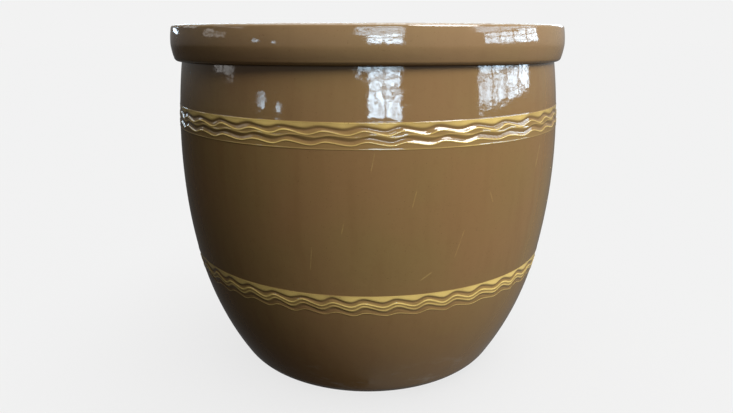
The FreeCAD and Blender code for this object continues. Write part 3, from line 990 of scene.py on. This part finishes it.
@dataclass
class Crock:
    """The clay: five rings that meet at level seams, each turned about the axis."""

    glaze: CrockGlaze
    base_seam: float
    lower_seam: float
    upper_seam: float
    collar_seam: float
    top: float
    rim_radius: float
    belly_radius: float
    belly_height: float = 0.460
    collar_overhang: float = 15.1 * MM
    collar_round: float = 9 * MM         # the round of its foot
    collar_lean: float = 4.2 * MM        # how far the face leans out from there to its widest
    collar_widest: float = 28 * MM       # the height of that above the seam
    collar_tuck: float = 2.6 * MM        # how far it leans back in to the top
    collar_swell: float = 3.0 * MM       # how much wider the potter's hands left it than true
    collar_lopsided: float = 0.8 * MM    # and how much more than that at the left, less at the right
    collar_droop: float = 4.5 * MM       # how far its foot hangs down over the seam at both sides
    rim_width: float = 45 * MM
    rim_outer_round: float = 6 * MM
    rim_inner_round: float = 10 * MM
    mouth_taper_rise: float = 17 * MM
    lower_arc: float = 0.640
    foot_round: float = 65 * MM
    floor_round: float = 45 * MM
    floor_thickness: float = 22 * MM
    wall: float = 16 * MM
    segments: int = 1024
    seam_step: float = 0.25 * MM         # fine rows beside a seam, so that the shading runs on across it
    band_step: float = 0.75 * MM
    plain_step: float = 16 * MM
    inner_step: float = 20 * MM
    wobble: float = 1.6 * MM             # how far the thrown wall strays from a true round

    @classmethod
    def from_frame(cls) -> "Crock":
        """Take the seams and radii from the frame.

        Returns:
            The crock.
        """
        rim_low, rim_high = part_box("rim_collar")
        return cls(
            glaze=CrockGlaze("brown_ash_glaze", rim_high.z, rim_high.x, rim_low.z),
            base_seam=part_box("base")[1].z,
            lower_seam=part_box("lower_wall")[1].z,
            upper_seam=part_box("middle_wall")[1].z,
            collar_seam=rim_low.z,
            top=rim_high.z,
            rim_radius=rim_high.x,
            belly_radius=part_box("middle_wall")[1].x,
        )

    def __post_init__(self) -> None:
        """Work out the arcs of the wall."""
        self.neck = self.rim_radius - self.collar_overhang
        swell = self.belly_radius - self.neck
        rise = self.collar_seam - self.belly_height
        self.upper_arc = (swell ** 2 + rise ** 2) / (2 * swell)
        self.upper_back = self.upper_arc - self.belly_radius
        drop = self.belly_height - self.lower_seam
        seam_radius = math.sqrt(self.upper_arc ** 2 - drop ** 2) - self.upper_back
        slope = drop / self.upper_arc
        self.lower_back = self.lower_arc * math.sqrt(1 - slope ** 2) - seam_radius
        self.lower_centre = self.lower_seam + self.lower_arc * slope
        self.inner_lower_arc = self.lower_arc - self.wall
        self.inner_upper_arc = self.upper_arc - self.wall
        self.foot_centre, self.foot_top = self.corner(self.lower_arc, self.foot_round, 0.0)
        floor = self.corner(self.inner_lower_arc, self.floor_round, self.floor_thickness)
        self.floor_centre, self.floor_top = floor

    def corner(self, arc: float, rounding: float, level: float) -> Tuple[float, float]:
        """Where a round joins a level face to the lower arc.

        Args:
            arc: The radius of the lower arc.
            rounding: The radius of the round.
            level: The height of the level face.

        Returns:
            The radius at the round's centre, and the height of its upper end.
        """
        drop = self.lower_centre - level - rounding
        reach = math.sqrt((arc - rounding) ** 2 - drop ** 2)
        return reach - self.lower_back, self.lower_centre - drop * arc / (arc - rounding)

    def outer(self, z: float) -> float:
        """How wide the outer face is, below the collar.

        Args:
            z: The height.

        Returns:
            The radius there.
        """
        if z < self.foot_top:
            return self.foot_centre + math.sqrt(self.foot_round ** 2 - (self.foot_round - z) ** 2)
        if z < self.lower_seam:
            return math.sqrt(self.lower_arc ** 2 - (z - self.lower_centre) ** 2) - self.lower_back
        return math.sqrt(self.upper_arc ** 2 - (z - self.belly_height) ** 2) - self.upper_back

    def inner(self, z: float) -> float:
        """How wide the inner face is, below the collar.

        Args:
            z: The height.

        Returns:
            The radius there.
        """
        if z < self.floor_top:
            drop = self.floor_thickness + self.floor_round - z
            return self.floor_centre + math.sqrt(max(self.floor_round ** 2 - drop ** 2, 0.0))
        if z < self.lower_seam:
            return math.sqrt(self.inner_lower_arc ** 2 - (z - self.lower_centre) ** 2) - self.lower_back
        return math.sqrt(self.inner_upper_arc ** 2 - (z - self.belly_height) ** 2) - self.upper_back

    def outer_heights(self, low: float, high: float) -> List[float]:
        """The rows on the outer face of a wall ring, finer where a band runs.

        Args:
            low: The seam at its foot.
            high: The seam at its top.

        Returns:
            Their heights.
        """
        bands = [(band.top - band.depth - 4 * MM, band.top + 2 * MM)
                 for band in (LOWER_BAND, UPPER_BAND)]
        stops = sorted({low, high, *(edge for band in bands for edge in band if low < edge < high)})
        heights = []
        for start, end in zip(stops, stops[1:]):
            middle = (start + end) / 2
            fine = any(band[0] < middle < band[1] for band in bands)
            heights += spread(start, end, self.band_step if fine else self.plain_step)
        heights += [high, low + self.seam_step, high - self.seam_step]
        return sorted(set(heights))

    def ring_outline(self, low: float, high: float) -> List[OutlinePoint]:
        """The section of a wall ring: up the outer face and down the inner face.

        Args:
            low: The seam at its foot.
            high: The seam at its top.

        Returns:
            Its points, the first again at the end.
        """
        up = face([(self.outer(z), z) for z in self.outer_heights(low, high)], 1.0)
        down = face([(self.inner(z), z) for z in spread(high, low, self.inner_step) + [low]], 0.0)
        return up + down + up[:1]

    def base_outline(self) -> List[OutlinePoint]:
        """The section of the base: out along the bottom, up the foot and in along the floor.

        Returns:
            Its points, from the axis to the axis.
        """
        bottom = [(r, 0.0) for r in spread(0.0, self.foot_centre, 20 * MM)]
        foot_middle = (self.foot_centre, self.foot_round)
        foot_end = math.degrees(math.asin((self.foot_top - self.foot_round) / self.foot_round))
        foot = arc_points(foot_middle, self.foot_round, -90, foot_end, 16)
        heights = spread(self.foot_top, self.base_seam, 4 * MM)[1:]
        side = [(self.outer(z), z) for z in heights + [self.base_seam - self.seam_step, self.base_seam]]
        middle = (self.floor_centre, self.floor_thickness + self.floor_round)
        end = math.degrees(math.asin(min(1.0, (self.base_seam - middle[1]) / self.floor_round)))
        corner = arc_points(middle, self.floor_round, end, -90, 14)
        floor = [(r, self.floor_thickness) for r in spread(self.floor_centre, 0.0, 24 * MM)[1:] + [0.0]]
        return face(bottom + foot + side, 1.0) + face(corner + floor, 0.0)

    def collar_front(self) -> List[Point2]:
        """The outer face of the collar, from its foot up to its top edge.

        Returns:
            Its points. It leans out to its widest and then back in.
        """
        low = self.rim_radius - self.collar_lean
        foot_middle = (low - self.collar_round, self.collar_seam + self.collar_round)
        foot = arc_points(foot_middle, self.collar_round, -90, -8, 12)
        face_low, face_top = foot[-1][1], self.top - self.rim_outer_round
        widest = self.collar_seam + self.collar_widest
        lower = [(self.rim_radius - self.collar_lean * ((widest - z) / (widest - face_low)) ** 1.6, z)
                 for z in spread(face_low, widest, 2 * MM)[1:]]
        upper = [(self.rim_radius - self.collar_tuck * ((z - widest) / (face_top - widest)) ** 2, z)
                 for z in spread(widest, face_top, 2 * MM)]
        edge_middle = (self.rim_radius - self.collar_tuck - self.rim_outer_round, face_top)
        return foot + lower + upper + arc_points(edge_middle, self.rim_outer_round, 10, 90, 9)

    def collar_outline(self) -> List[OutlinePoint]:
        """The section of the collar: its front, its level top and the throat, which widens to the wall.

        Returns:
            Its points, the first again at the end.
        """
        front = self.collar_front()
        mouth = self.rim_radius - self.rim_width
        inner_middle = (mouth + self.rim_inner_round, self.top - self.rim_inner_round)
        land = [(r, self.top) for r in spread(front[-1][0], inner_middle[0], 5 * MM)[1:]]
        inner_edge = arc_points(inner_middle, self.rim_inner_round, 90, 180, 10)
        taper_low, taper_high = self.collar_seam, self.collar_seam + self.mouth_taper_rise
        throat = [(mouth, z) for z in spread(inner_middle[1], taper_high, 7 * MM)[1:]]
        widening = self.inner(self.collar_seam) - mouth
        taper = [(mouth + widening * (taper_high - z) / (taper_high - taper_low), z)
                 for z in spread(taper_high, taper_low, 4 * MM) + [taper_low]]
        out = face([(self.neck, self.collar_seam)] + front + land, 1.0)
        return out + face(inner_edge + throat + taper, 0.0) + out[:1]

    def by_hand(self, tree: Tree, inputs: Dict[str, Value], angle: Value, radius: Value,
                height: Value) -> Tuple[Value, Value, Value]:
        """How the potter's hands strayed from a true round.

        Args:
            tree: The tree being written.
            inputs: The tree's inputs, by name.
            angle: Where round the crock, in radians from the front.
            radius: The true radius there.
            height: The true height.

        Returns:
            How far the wall wanders outward, how much wider the collar is and how far its foot hangs down.
        """
        ring = tree.vector(angle.sin() * 0.9, angle.cos() * 0.9, height * 2.2 + 4.0)
        stray = (tree.noise(ring, 1.1, 2.0, 0.4) - 0.5) * inputs["Wobble"] * height.rise(0.0, 0.06) * 2.0
        collar = height.rise(self.collar_seam - 0.5 * MM, self.collar_seam)
        collar = collar * radius.rise(self.neck + 0.1 * MM, self.neck + 0.5 * MM)
        swell = collar * (inputs["Collar Swell"] - angle.sin() * inputs["Lopsided"])
        foot = collar * height.rise(self.collar_seam + 26 * MM, self.collar_seam + 4 * MM)
        return stray, swell, foot * angle.sin() * angle.sin() * inputs["Collar Droop"]

    def turning_tree(self) -> bpy.types.NodeTree:
        """The tree that turns a section about the axis and works the bands into it.

        Returns:
            The tree, whose geometry is the section's points in order.
        """
        tree = GeometryTree("turned_clay")
        kinds = {"Segments": "NodeSocketInt", "Rows": "NodeSocketInt", "Glaze": "NodeSocketMaterial"}
        lengths = ("Wobble", "Collar Swell", "Lopsided", "Collar Droop")
        inputs = tree.inputs({**kinds, **{name: "NodeSocketFloat" for name in lengths}})
        section, segments, rows = inputs["Geometry"], inputs["Segments"], inputs["Rows"]
        grid = tree.value("GeometryNodeMeshGrid", {}, {"Vertices X": segments + 1.0, "Vertices Y": rows})
        index = tree.value("GeometryNodeInputIndex", {}, {})
        column = (index / rows + 1e-5).floor()
        row = index - column * rows
        radius, _, height = tree.split(tree.sample(section, "FLOAT_VECTOR", tree.position(), row))
        stored = tree.value("GeometryNodeInputNamedAttribute", {"data_type": "FLOAT"}, {"Name": OUTSIDE})
        outside = tree.sample(section, "FLOAT", stored, row)
        angle = column / segments * (2 * math.pi)
        upper_relief, upper_slip = UPPER_BAND.draw(tree, angle, height)
        lower_relief, lower_slip = LOWER_BAND.draw(tree, angle, height)
        stray, swell, droop = self.by_hand(tree, inputs, angle, radius, height)
        radius = radius + (upper_relief + lower_relief + stray + swell) * outside
        place = tree.vector(radius * angle.sin(), -(radius * angle.cos()), height - droop * outside)
        turned = tree.move(grid, place)
        slipped = tree.store(turned, SLIP, (upper_slip + lower_slip) * outside)
        marked = tree.store(slipped, OUTSIDE, outside)
        closed = tree.value("GeometryNodeMergeByDistance", {}, {"Geometry": marked, "Distance": 5e-6})
        return tree.finish(closed, inputs["Glaze"])

    def turn(self, name: str, outline: Sequence[OutlinePoint], group: bpy.types.NodeTree) -> None:
        """Turn one ring and hand it over.

        Args:
            name: Its node.
            outline: Its section.
            group: The tree that turns sections.
        """
        mesh = bpy.data.meshes.new(f"{name}_section")
        mesh.from_pydata([(p.radius, 0.0, p.height) for p in outline], [], [])
        piece = new_piece(f"{name}_clay", mesh)
        layer = mesh.attributes.new(OUTSIDE, "FLOAT", "POINT")
        layer.data.foreach_set("value", [p.outside for p in outline])
        grow(piece, group, {
            "Segments": self.segments, "Rows": len(outline), "Wobble": self.wobble,
            "Collar Swell": self.collar_swell, "Lopsided": self.collar_lopsided,
            "Collar Droop": self.collar_droop, "Glaze": self.glaze.make(),
        }, 55.0)
        hand_over(piece, "crock", "crock_glaze", name)

    def build(self) -> None:
        """Make the five rings."""
        group = self.turning_tree()
        self.turn("base", self.base_outline(), group)
        self.turn("lower_wall", self.ring_outline(self.base_seam, self.lower_seam), group)
        self.turn("middle_wall", self.ring_outline(self.lower_seam, self.upper_seam), group)
        self.turn("upper_wall", self.ring_outline(self.upper_seam, self.collar_seam), group)
        self.turn("rim_collar", self.collar_outline(), group)


# ---------------------------------------------------------------- the press lid
@dataclass
class PressLid:
    """Seven edge-dowelled boards, two battens pegged across them and a lift bar pegged across those."""

    boards: Timber
    battens: Timber
    pegs: Bamboo
    board_count: int = 7
    board_ease: float = 1.4 * MM
    board_least: float = 6 * MM          # half the least length that a sawn edge has
    rim_steps: int = 26                  # along a board's end
    shift_step: float = 1.37             # of the grain, from board to board
    batten_ease: float = 2.0 * MM
    batten_slant: float = 5 * MM         # how far the slant at its ends reaches
    bar_round: float = 8 * MM
    bar_end_ease: float = 3 * MM
    peg_radius: float = 5 * MM
    peg_ease: float = 0.6 * MM
    peg_proud: float = 0.2 * MM
    dowel_spacing: float = 0.180
    dowel_length: float = 50 * MM
    peg_end_inset: float = 18 * MM
    bar_peg_spread: float = 16 * MM
    bar_peg_depth: float = 24 * MM

    def hand_over_timber(self, piece: bpy.types.Object, wood: Timber, shift: float, node: str) -> None:
        """Finish a piece of timber.

        Args:
            piece: The piece.
            wood: Its finish.
            shift: How far its grain is moved along.
            node: The node that it stands for.
        """
        dress(piece, wood)
        mark(piece, GRAIN_SHIFT, shift)
        hand_over(piece, "press_lid", "lid_wood", node)

    def board(self, number: int) -> None:
        """Saw one board out of the round lid.

        Args:
            number: 1 at the front to board_count at the back.
        """
        name = f"press_board_{number}"
        low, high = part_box(name)
        radius = max(abs(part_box(f"press_board_{self.board_count}")[1].y), abs(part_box("press_board_1")[0].y))
        rim = []
        for side, start, end in ((1, low.y, high.y), (-1, high.y, low.y)):
            for i in range(self.rim_steps + 1):
                y = start + (end - start) * i / self.rim_steps
                reach = math.sqrt(max(radius ** 2 - y ** 2, self.board_least ** 2))
                rim.append((side * reach, y))
        loops = [[(px, py, z) for px, py in rim] for z in (low.z, high.z)]
        piece = ease_edges(loft(name + "_timber", loops), self.board_ease)
        self.hand_over_timber(piece, self.boards, number * self.shift_step, name)

    def batten(self, side: str, shift: float) -> None:
        """Make a batten, whose ends are cut at a slant above the boards.

        Args:
            side: left or right.
            shift: How far its grain is moved along.
        """
        name = f"batten_{side}"
        low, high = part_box(name)
        slant = self.batten_slant
        profile = [(low.y, low.z), (high.y, low.z), (high.y, high.z - slant), (high.y - slant, high.z),
                   (low.y + slant, high.z), (low.y, high.z - slant)]
        loops = [[(x, y, z) for y, z in profile] for x in (low.x, high.x)]
        piece = ease_edges(loft(name + "_timber", loops), self.batten_ease)
        self.hand_over_timber(piece, self.battens, shift, name)

    def lift_bar(self) -> None:
        """Make the bar that a hand lifts the lid by, rounded along its length."""
        low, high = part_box("lift_bar")
        round_by = self.bar_round

        def section(x: float, inset: float) -> List[Point3]:
            """The bar's section.

            Args:
                x: Where along the bar.
                inset: How far it is drawn in all round.

            Returns:
                Its points.
            """
            half = (high.y - low.y) / 2 - inset
            bottom, top = low.z + inset, high.z - inset
            r = round_by - inset
            corners = ((half - r, bottom + r, -90), (half - r, top - r, 0),
                       (-half + r, top - r, 90), (-half + r, bottom + r, 180))
            return [(x, py, pz) for cy, cz, start in corners
                    for py, pz in arc_points((cy, cz), r, start, start + 90, 8)]

        ease = self.bar_end_ease
        ends = [(ease * (1 - math.sin(a)), ease * (1 - math.cos(a))) for a in
                (math.radians(d) for d in (0, 22.5, 45, 67.5, 90))]
        loops = [section(low.x + depth, inset) for inset, depth in ends]
        loops += [section(x, 0.0) for x in spread(low.x + ease, high.x - ease, 20 * MM)[1:]]
        loops += [section(high.x - depth, inset) for inset, depth in reversed(ends)]
        self.hand_over_timber(loft("lift_bar_timber", loops), self.boards, 0.61, "lift_bar")

    def pin_tree(self) -> bpy.types.NodeTree:
        """The tree that stands a peg with eased ends on every point.

        Returns:
            The tree, whose geometry is the middle point of each peg.
        """
        tree = GeometryTree("pegs")
        inputs = tree.inputs({
            "Radius": "NodeSocketFloat", "Length": "NodeSocketFloat", "Ease": "NodeSocketFloat",
            "Turn": "NodeSocketVector", "Wood": "NodeSocketMaterial",
        })
        radius, length, ease = inputs["Radius"], inputs["Length"], inputs["Ease"]
        sockets = {"Vertices": 28, "Side Segments": 3, "Radius": radius, "Depth": length}
        stick = tree.value("GeometryNodeMeshCylinder", {"fill_type": "NGON"}, sockets)
        x, y, z = tree.split(tree.position())
        end = abs(z) / (length * 0.5)
        is_end = end.rise(0.9, 0.99)
        is_shoulder = end.rise(0.1, 0.2) * (1.0 - is_end)
        shrink = 1.0 - is_end * ease / radius
        slide = is_shoulder * (length * 0.5 - ease - abs(z))
        side = tree.math("SIGN", z)
        place = tree.vector(x * shrink, y * shrink, z + side * slide)
        peg = tree.move(stick, place)
        sockets = {"Points": inputs["Geometry"], "Instance": peg, "Rotation": inputs["Turn"]}
        return tree.finish(tree.value("GeometryNodeInstanceOnPoints", {}, sockets), inputs["Wood"])

    def pins(self, node: str, middles: Sequence[Point3], length: float, level: bool,
             group: bpy.types.NodeTree) -> None:
        """Make all the pegs of one node.

        Args:
            node: The node they stand for.
            middles: The middle of each peg.
            length: How long a peg is.
            level: Whether they lie along Y; otherwise they stand.
            group: The tree that makes pegs.
        """
        mesh = bpy.data.meshes.new(node)
        mesh.from_pydata(list(middles), [], [])
        piece = new_piece(f"{node}_pins", mesh)
        turn = (math.pi / 2, 0.0, 0.0) if level else (0.0, 0.0, 0.0)
        grow(piece, group, {
            "Radius": self.peg_radius, "Length": length, "Ease": self.peg_ease, "Turn": turn,
            "Wood": self.pegs.make(),
        }, 50.0)
        hand_over(piece, "press_lid", "peg_wood", node)

    def build(self) -> None:
        """Make the whole lid."""
        for number in range(1, self.board_count + 1):
            self.board(number)
        self.batten("left", 0.23)
        self.batten("right", 2.9)
        self.lift_bar()
        group = self.pin_tree()
        boards = [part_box(f"press_board_{number}") for number in range(1, self.board_count + 1)]
        middles = [(low.y + high.y) / 2 for low, high in boards]
        battens = [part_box("batten_left"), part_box("batten_right")]
        columns = [(low.x + high.x) / 2 for low, high in battens]
        batten_end, batten_top = battens[0][1].y, battens[0][1].z
        end = batten_end - self.peg_end_inset
        rows = [-end] + middles[1:-1] + [end]
        lid_low, lid_high = boards[0][0].z, boards[0][1].z
        spots = [(x, y, (lid_low + batten_top) / 2) for x in columns for y in rows]
        self.pins("batten_pegs", spots, batten_top - lid_low + 2 * self.peg_proud, False, group)
        bar_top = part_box("lift_bar")[1].z
        foot = batten_top - self.bar_peg_depth
        spots = [(x, y, (foot + bar_top) / 2 + self.peg_proud)
                 for x in columns for y in (-self.bar_peg_spread, self.bar_peg_spread)]
        self.pins("lift_bar_pegs", spots, bar_top - foot, False, group)
        seams = [(first + second) / 2 for first, second in zip(middles, middles[1:])]
        spots = [(x, y, (lid_low + lid_high) / 2)
                 for y in seams for x in (-self.dowel_spacing, 0.0, self.dowel_spacing)]
        self.pins("edge_dowels", spots, self.dowel_length, True, group)


# ---------------------------------------------------------------- the weights
@dataclass
class Weights:
    """Two half-moon weights of glazed stoneware, each with a finger slot."""

    glaze: WeightGlaze
    corner: float = 22 * MM
    edge_round: float = 5 * MM
    slot_half_run: float = 35 * MM
    slot_radius: float = 15 * MM
    slot_inset: float = 75 * MM      # from the straight edge to the middle of the slot
    around: int = 320

    def walk(self, points: Sequence[Point2]) -> List[Point2]:
        """Points at equal steps along a closed path.

        Args:
            points: The path, whose last point joins the first.

        Returns:
            As many points as the weights have round them.
        """
        loop = list(points) + [points[0]]
        lengths = [math.dist(a, b) for a, b in zip(loop, loop[1:])]
        total = sum(lengths)
        walked, leg, done = [], 0, 0.0
        for i in range(self.around):
            goal = total * i / self.around
            while done + lengths[leg] < goal:
                done += lengths[leg]
                leg += 1
            share = (goal - done) / lengths[leg] if lengths[leg] else 0.0
            walked.append(between(loop[leg], loop[leg + 1], share))
        return walked

    def both_sides(self, left: Sequence[Point2]) -> List[Point2]:
        """A path and its mirror image, from the point on the middle line where it starts."""
        return self.walk(list(left) + [(-px, py) for px, py in reversed(left[1:])])

    def outline(self, radius: float, straight: float, inset: float) -> List[Point2]:
        """The half moon, from the middle of its round side.

        Args:
            radius: Its radius about the axis.
            straight: Where its straight edge is.
            inset: How far it is drawn in all round.

        Returns:
            Its points.
        """
        height = straight + self.corner
        across = math.sqrt((radius - self.corner) ** 2 - height ** 2)
        turn = math.degrees(math.atan2(height, across))
        small = max(self.corner - inset, 0.1 * MM)
        left = arc_points((0.0, 0.0), radius - inset, 90, 180 - turn, 60)
        left += arc_points((-across, height), small, 180 - turn, 270, 24)[1:]
        return self.both_sides(left)

    def slot(self, middle: float, grown: float) -> List[Point2]:
        """The finger slot, from the middle of its far side.

        Args:
            middle: How far it is from the lid's middle line.
            grown: How far it is grown all round.

        Returns:
            Its points.
        """
        radius = self.slot_radius + grown
        left = arc_points((-self.slot_half_run, middle), radius, 90, 270, 24)
        return self.both_sides([(0.0, middle + radius)] + left)

    def weight(self, name: str, body: str, turn: float) -> None:
        """Make one weight.

        Args:
            name: Its node.
            body: The body that it rides on.
            turn: 1 for the back half of the lid, -1 for the front.
        """
        low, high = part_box(name)
        straight = low.y if turn > 0 else -high.y
        radius = high.y if turn > 0 else -low.y
        middle = straight + self.slot_inset
        r = self.edge_round
        angles = [math.radians(90 * i / 6) for i in range(7)]
        corner = [(r * (1 - math.cos(a)), r * (1 - math.sin(a))) for a in angles]
        back = list(reversed(corner))
        rim, hole = self.outline(radius, straight, r), self.slot(middle, r)

        def crossing(share: float) -> List[Point2]:
            """A path on the flat, a share of the way from the rim to the slot."""
            return [between(first, second, share) for first, second in zip(rim, hole)]

        paths = [(self.outline(radius, straight, inset), high.z - drop) for inset, drop in corner]
        paths += [(crossing(share), high.z) for share in (0.2, 0.4, 0.6, 0.8)]
        paths += [(self.slot(middle, inset), high.z - drop) for inset, drop in back]
        paths += [(self.slot(middle, inset), low.z + drop) for inset, drop in corner]
        paths += [(crossing(share), low.z) for share in (0.75, 0.5, 0.25)]
        paths += [(self.outline(radius, straight, inset), low.z + drop) for inset, drop in back]
        loops = [[(px, py, z) for px, py in path] for path, z in paths]
        if turn < 0:
            loops = [[(-px, -py, pz) for px, py, pz in loop] for loop in loops]
        piece = loft(f"{name}_stoneware", loops, ring=True, sharp=60.0)
        dress(piece, self.glaze)
        hand_over(piece, body, "weight_glaze", name)

    def build(self) -> None:
        """Make both."""
        self.weight("back_weight", "back_weight_body", 1)
        self.weight("front_weight", "front_weight_body", -1)


# ---------------------------------------------------------------- the studio
@dataclass(frozen=True)
class Window:
    """A window of the room, as a direction, which the glaze mirrors."""

    azimuth: float       # degrees from the front of the crock towards its right
    elevation: float
    half_width: float
    half_height: float
    light: float
    panes: int = 3


@dataclass
class Studio:
    """A plain pale floor and backdrop, a soft lamp and a dim room, whose windows only mirrored rays see."""

    backdrop: float = 0.888
    floor_half: float = 40.0
    lamp_power: float = 6.9
    lamp_spread: float = 36.0
    lamp_azimuth: float = 51.0
    lamp_elevation: float = 41.0
    lamp_colour: Point3 = (0.97, 1.0, 1.02)
    ceiling_left: float = 1.3        # how bright the ceiling is, to the left
    ceiling_right: float = 3.3
    bright_side: float = 80.0        # the azimuth where the room is brightest
    room_left: float = 0.16          # how bright the room is at eye height, to the left
    room_right: float = 0.5
    ground_left: float = 0.03        # and below it
    ground_right: float = 0.24
    upper_left: float = 0.08         # and between eye height and the ceiling
    upper_right: float = 0.34
    room_rise: Point2 = (-7.0, 4.0)  # the elevations between which the room takes over from the ground
    upper_rise: Point2 = (14.0, 32.0)
    ceiling_rise: Point2 = (50.0, 58.0)
    camera_distance: float = 1.3176
    camera_height: float = 0.6839
    camera_pitch: float = 15.77
    camera_lens: float = 29.97
    camera_shift: float = -0.002
    windows: Tuple[Window, ...] = (
        Window(9.5, 8.2, 9.5, 5.4, 36.0, 2),
        Window(7.0, 18.5, 14.0, 5.0, 14.0, 1),
        Window(86.0, 7.0, 21.0, 4.6, 21.0, 4),
        Window(84.0, 18.5, 27.0, 6.0, 10.0, 1),
        Window(-139.0, 3.9, 6.0, 0.75, 14.0, 1),
        Window(-137.0, 8.4, 5.0, 0.45, 11.0, 1),
        Window(-119.0, 14.5, 9.0, 4.5, 3.0, 1),
        Window(-84.0, 19.5, 12.0, 4.5, 2.4, 2),
        Window(-63.0, 4.6, 2.6, 1.4, 14.0, 1),
        Window(-51.0, 3.4, 1.8, 1.1, 14.0, 1),
        Window(-92.0, 9.0, 9.0, 2.4, 2.2, 2),
        Window(160.0, 12.0, 15.0, 6.0, 7.0, 3),
        Window(-172.0, 9.0, 11.0, 6.0, 11.0, 2),
    )

    def world(self) -> None:
        """Write the room: what the crock is lit by and mirrors, and the plain backdrop that is seen."""
        world = bpy.data.worlds.new("room")
        bpy.context.scene.world = world
        world.use_nodes = True
        tree = Tree(world.node_tree)
        x, y, z = tree.split(tree.node("ShaderNodeTexCoord", {}, {}).outputs["Generated"])
        azimuth = tree.math("ARCTAN2", x, -y) * math.degrees(1.0)
        to_right = ((azimuth - self.bright_side) * math.radians(1.0)).cos()
        elevation = tree.math("ARCSINE", z) * math.degrees(1.0)
        right = 0.5 + to_right * 0.5

        def level(at_left: float, at_right: float) -> Value:
            """A brightness that goes from one value to another across the room."""
            return at_left + right * (at_right - at_left)

        light = level(self.ground_left, self.ground_right)
        light = light.toward(level(self.room_left, self.room_right), elevation.rise(*self.room_rise))
        light = light.toward(level(self.upper_left, self.upper_right), elevation.rise(*self.upper_rise))
        light = light.toward(level(self.ceiling_left, self.ceiling_right), elevation.rise(*self.ceiling_rise))
        path = tree.node("ShaderNodeLightPath", {}, {})
        mirrored = Value(tree, path.outputs["Is Glossy Ray"])
        for window in self.windows:
            light = light + self.window_light(tree, window, azimuth, elevation) * mirrored
        tint = tree.mix(light.rise(1.6, 6.0), (1.0, 0.98, 0.96, 1.0), (0.64, 0.83, 1.0, 1.0))
        room = tree.value("ShaderNodeBackground", {}, {"Color": tint, "Strength": light})
        white = (1.0, 1.0, 1.0, 1.0)
        plain = tree.value("ShaderNodeBackground", {}, {"Color": white, "Strength": self.backdrop})
        sockets = {"Fac": path.outputs["Is Camera Ray"], "Shader": room, "Shader_001": plain}
        both = tree.value("ShaderNodeMixShader", {}, sockets)
        tree.node("ShaderNodeOutputWorld", {}, {"Surface": both})

    def window_light(self, tree: Tree, window: Window, azimuth: Value, elevation: Value) -> Value:
        """The light of one window, dark at its bars and where leaves hang before it.

        Args:
            tree: The tree being written.
            window: The window.
            azimuth: The direction looked in, in degrees from the front to the right.
            elevation: Its height above level, in degrees.

        Returns:
            The light from that direction.
        """
        across = (azimuth - window.azimuth) / window.half_width
        up = (elevation - window.elevation) / window.half_height
        inside = abs(across).rise(1.0, 0.94) * abs(up).rise(1.0, 0.9)
        pane = abs((across * (window.panes / 2) + window.panes / 2) % 1.0 - 0.5)
        inside = inside * pane.rise(0.48, 0.42) * abs(up - 0.25).rise(0.04, 0.12)
        leaves = tree.noise(tree.vector(azimuth * 0.55, elevation * 0.8, window.azimuth), 1.0, 4.0, 0.65)
        return inside * leaves.rise(0.38, 0.57) * window.light

    def lamp(self) -> None:
        """Hang the soft lamp, high to the right and in front."""
        lamp = bpy.data.lights.new("lamp", "SUN")
        lamp.energy = self.lamp_power
        lamp.angle = math.radians(self.lamp_spread)
        lamp.color = self.lamp_colour
        holder = new_piece("lamp", lamp)
        lit = bpy.data.collections.new("lit_by_lamp")
        for piece in bpy.context.scene.objects:
            if piece.type == "MESH":
                lit.objects.link(piece)
        holder.light_linking.receiver_collection = lit
        azimuth, elevation = math.radians(self.lamp_azimuth), math.radians(self.lamp_elevation)
        level = math.cos(elevation)
        toward = Vector((math.sin(azimuth) * level, -math.cos(azimuth) * level, math.sin(elevation)))
        holder.rotation_euler = toward.to_track_quat("Z", "Y").to_euler()

    def floor(self) -> None:
        """Lay the floor."""
        half = self.floor_half
        mesh = bpy.data.meshes.new("floor")
        corners = ((-half, -half, 0.0), (half, -half, 0.0), (half, half, 0.0), (-half, half, 0.0))
        mesh.from_pydata(corners, [], [(0, 1, 2, 3)])
        floor = new_piece("floor", mesh)
        dress(floor, FloorPaint("floor_paint"))
        floor.visible_diffuse = False
        floor.visible_glossy = False

    def camera(self) -> None:
        """Stand the camera in front of the crock, just below the height of its rim."""
        data = bpy.data.cameras.new("camera")
        data.lens = self.camera_lens
        data.shift_x = self.camera_shift
        camera = new_piece("camera", data)
        camera.location = (0.0, -self.camera_distance, self.camera_height)
        camera.rotation_euler = (math.radians(90 - self.camera_pitch), 0.0, 0.0)
        bpy.context.scene.camera = camera

    def build(self) -> None:
        """Set up the whole studio."""
        self.world()
        self.lamp()
        self.floor()
        self.camera()
        bpy.context.scene.view_settings.view_transform = "Standard"


def main() -> None:
    """Build the object piece by piece, then the studio round it."""
    logging.basicConfig(level=logging.INFO, format="%(message)s")
    Crock.from_frame().build()
    PressLid(Timber("lid_boards"), Timber("lid_battens", Grain.FRONT_TO_BACK), Bamboo("bamboo")).build()
    Weights(WeightGlaze("satin_brown_glaze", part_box("front_weight")[0].z)).build()
    Studio().build()


if __name__ == "__main__":
    main()
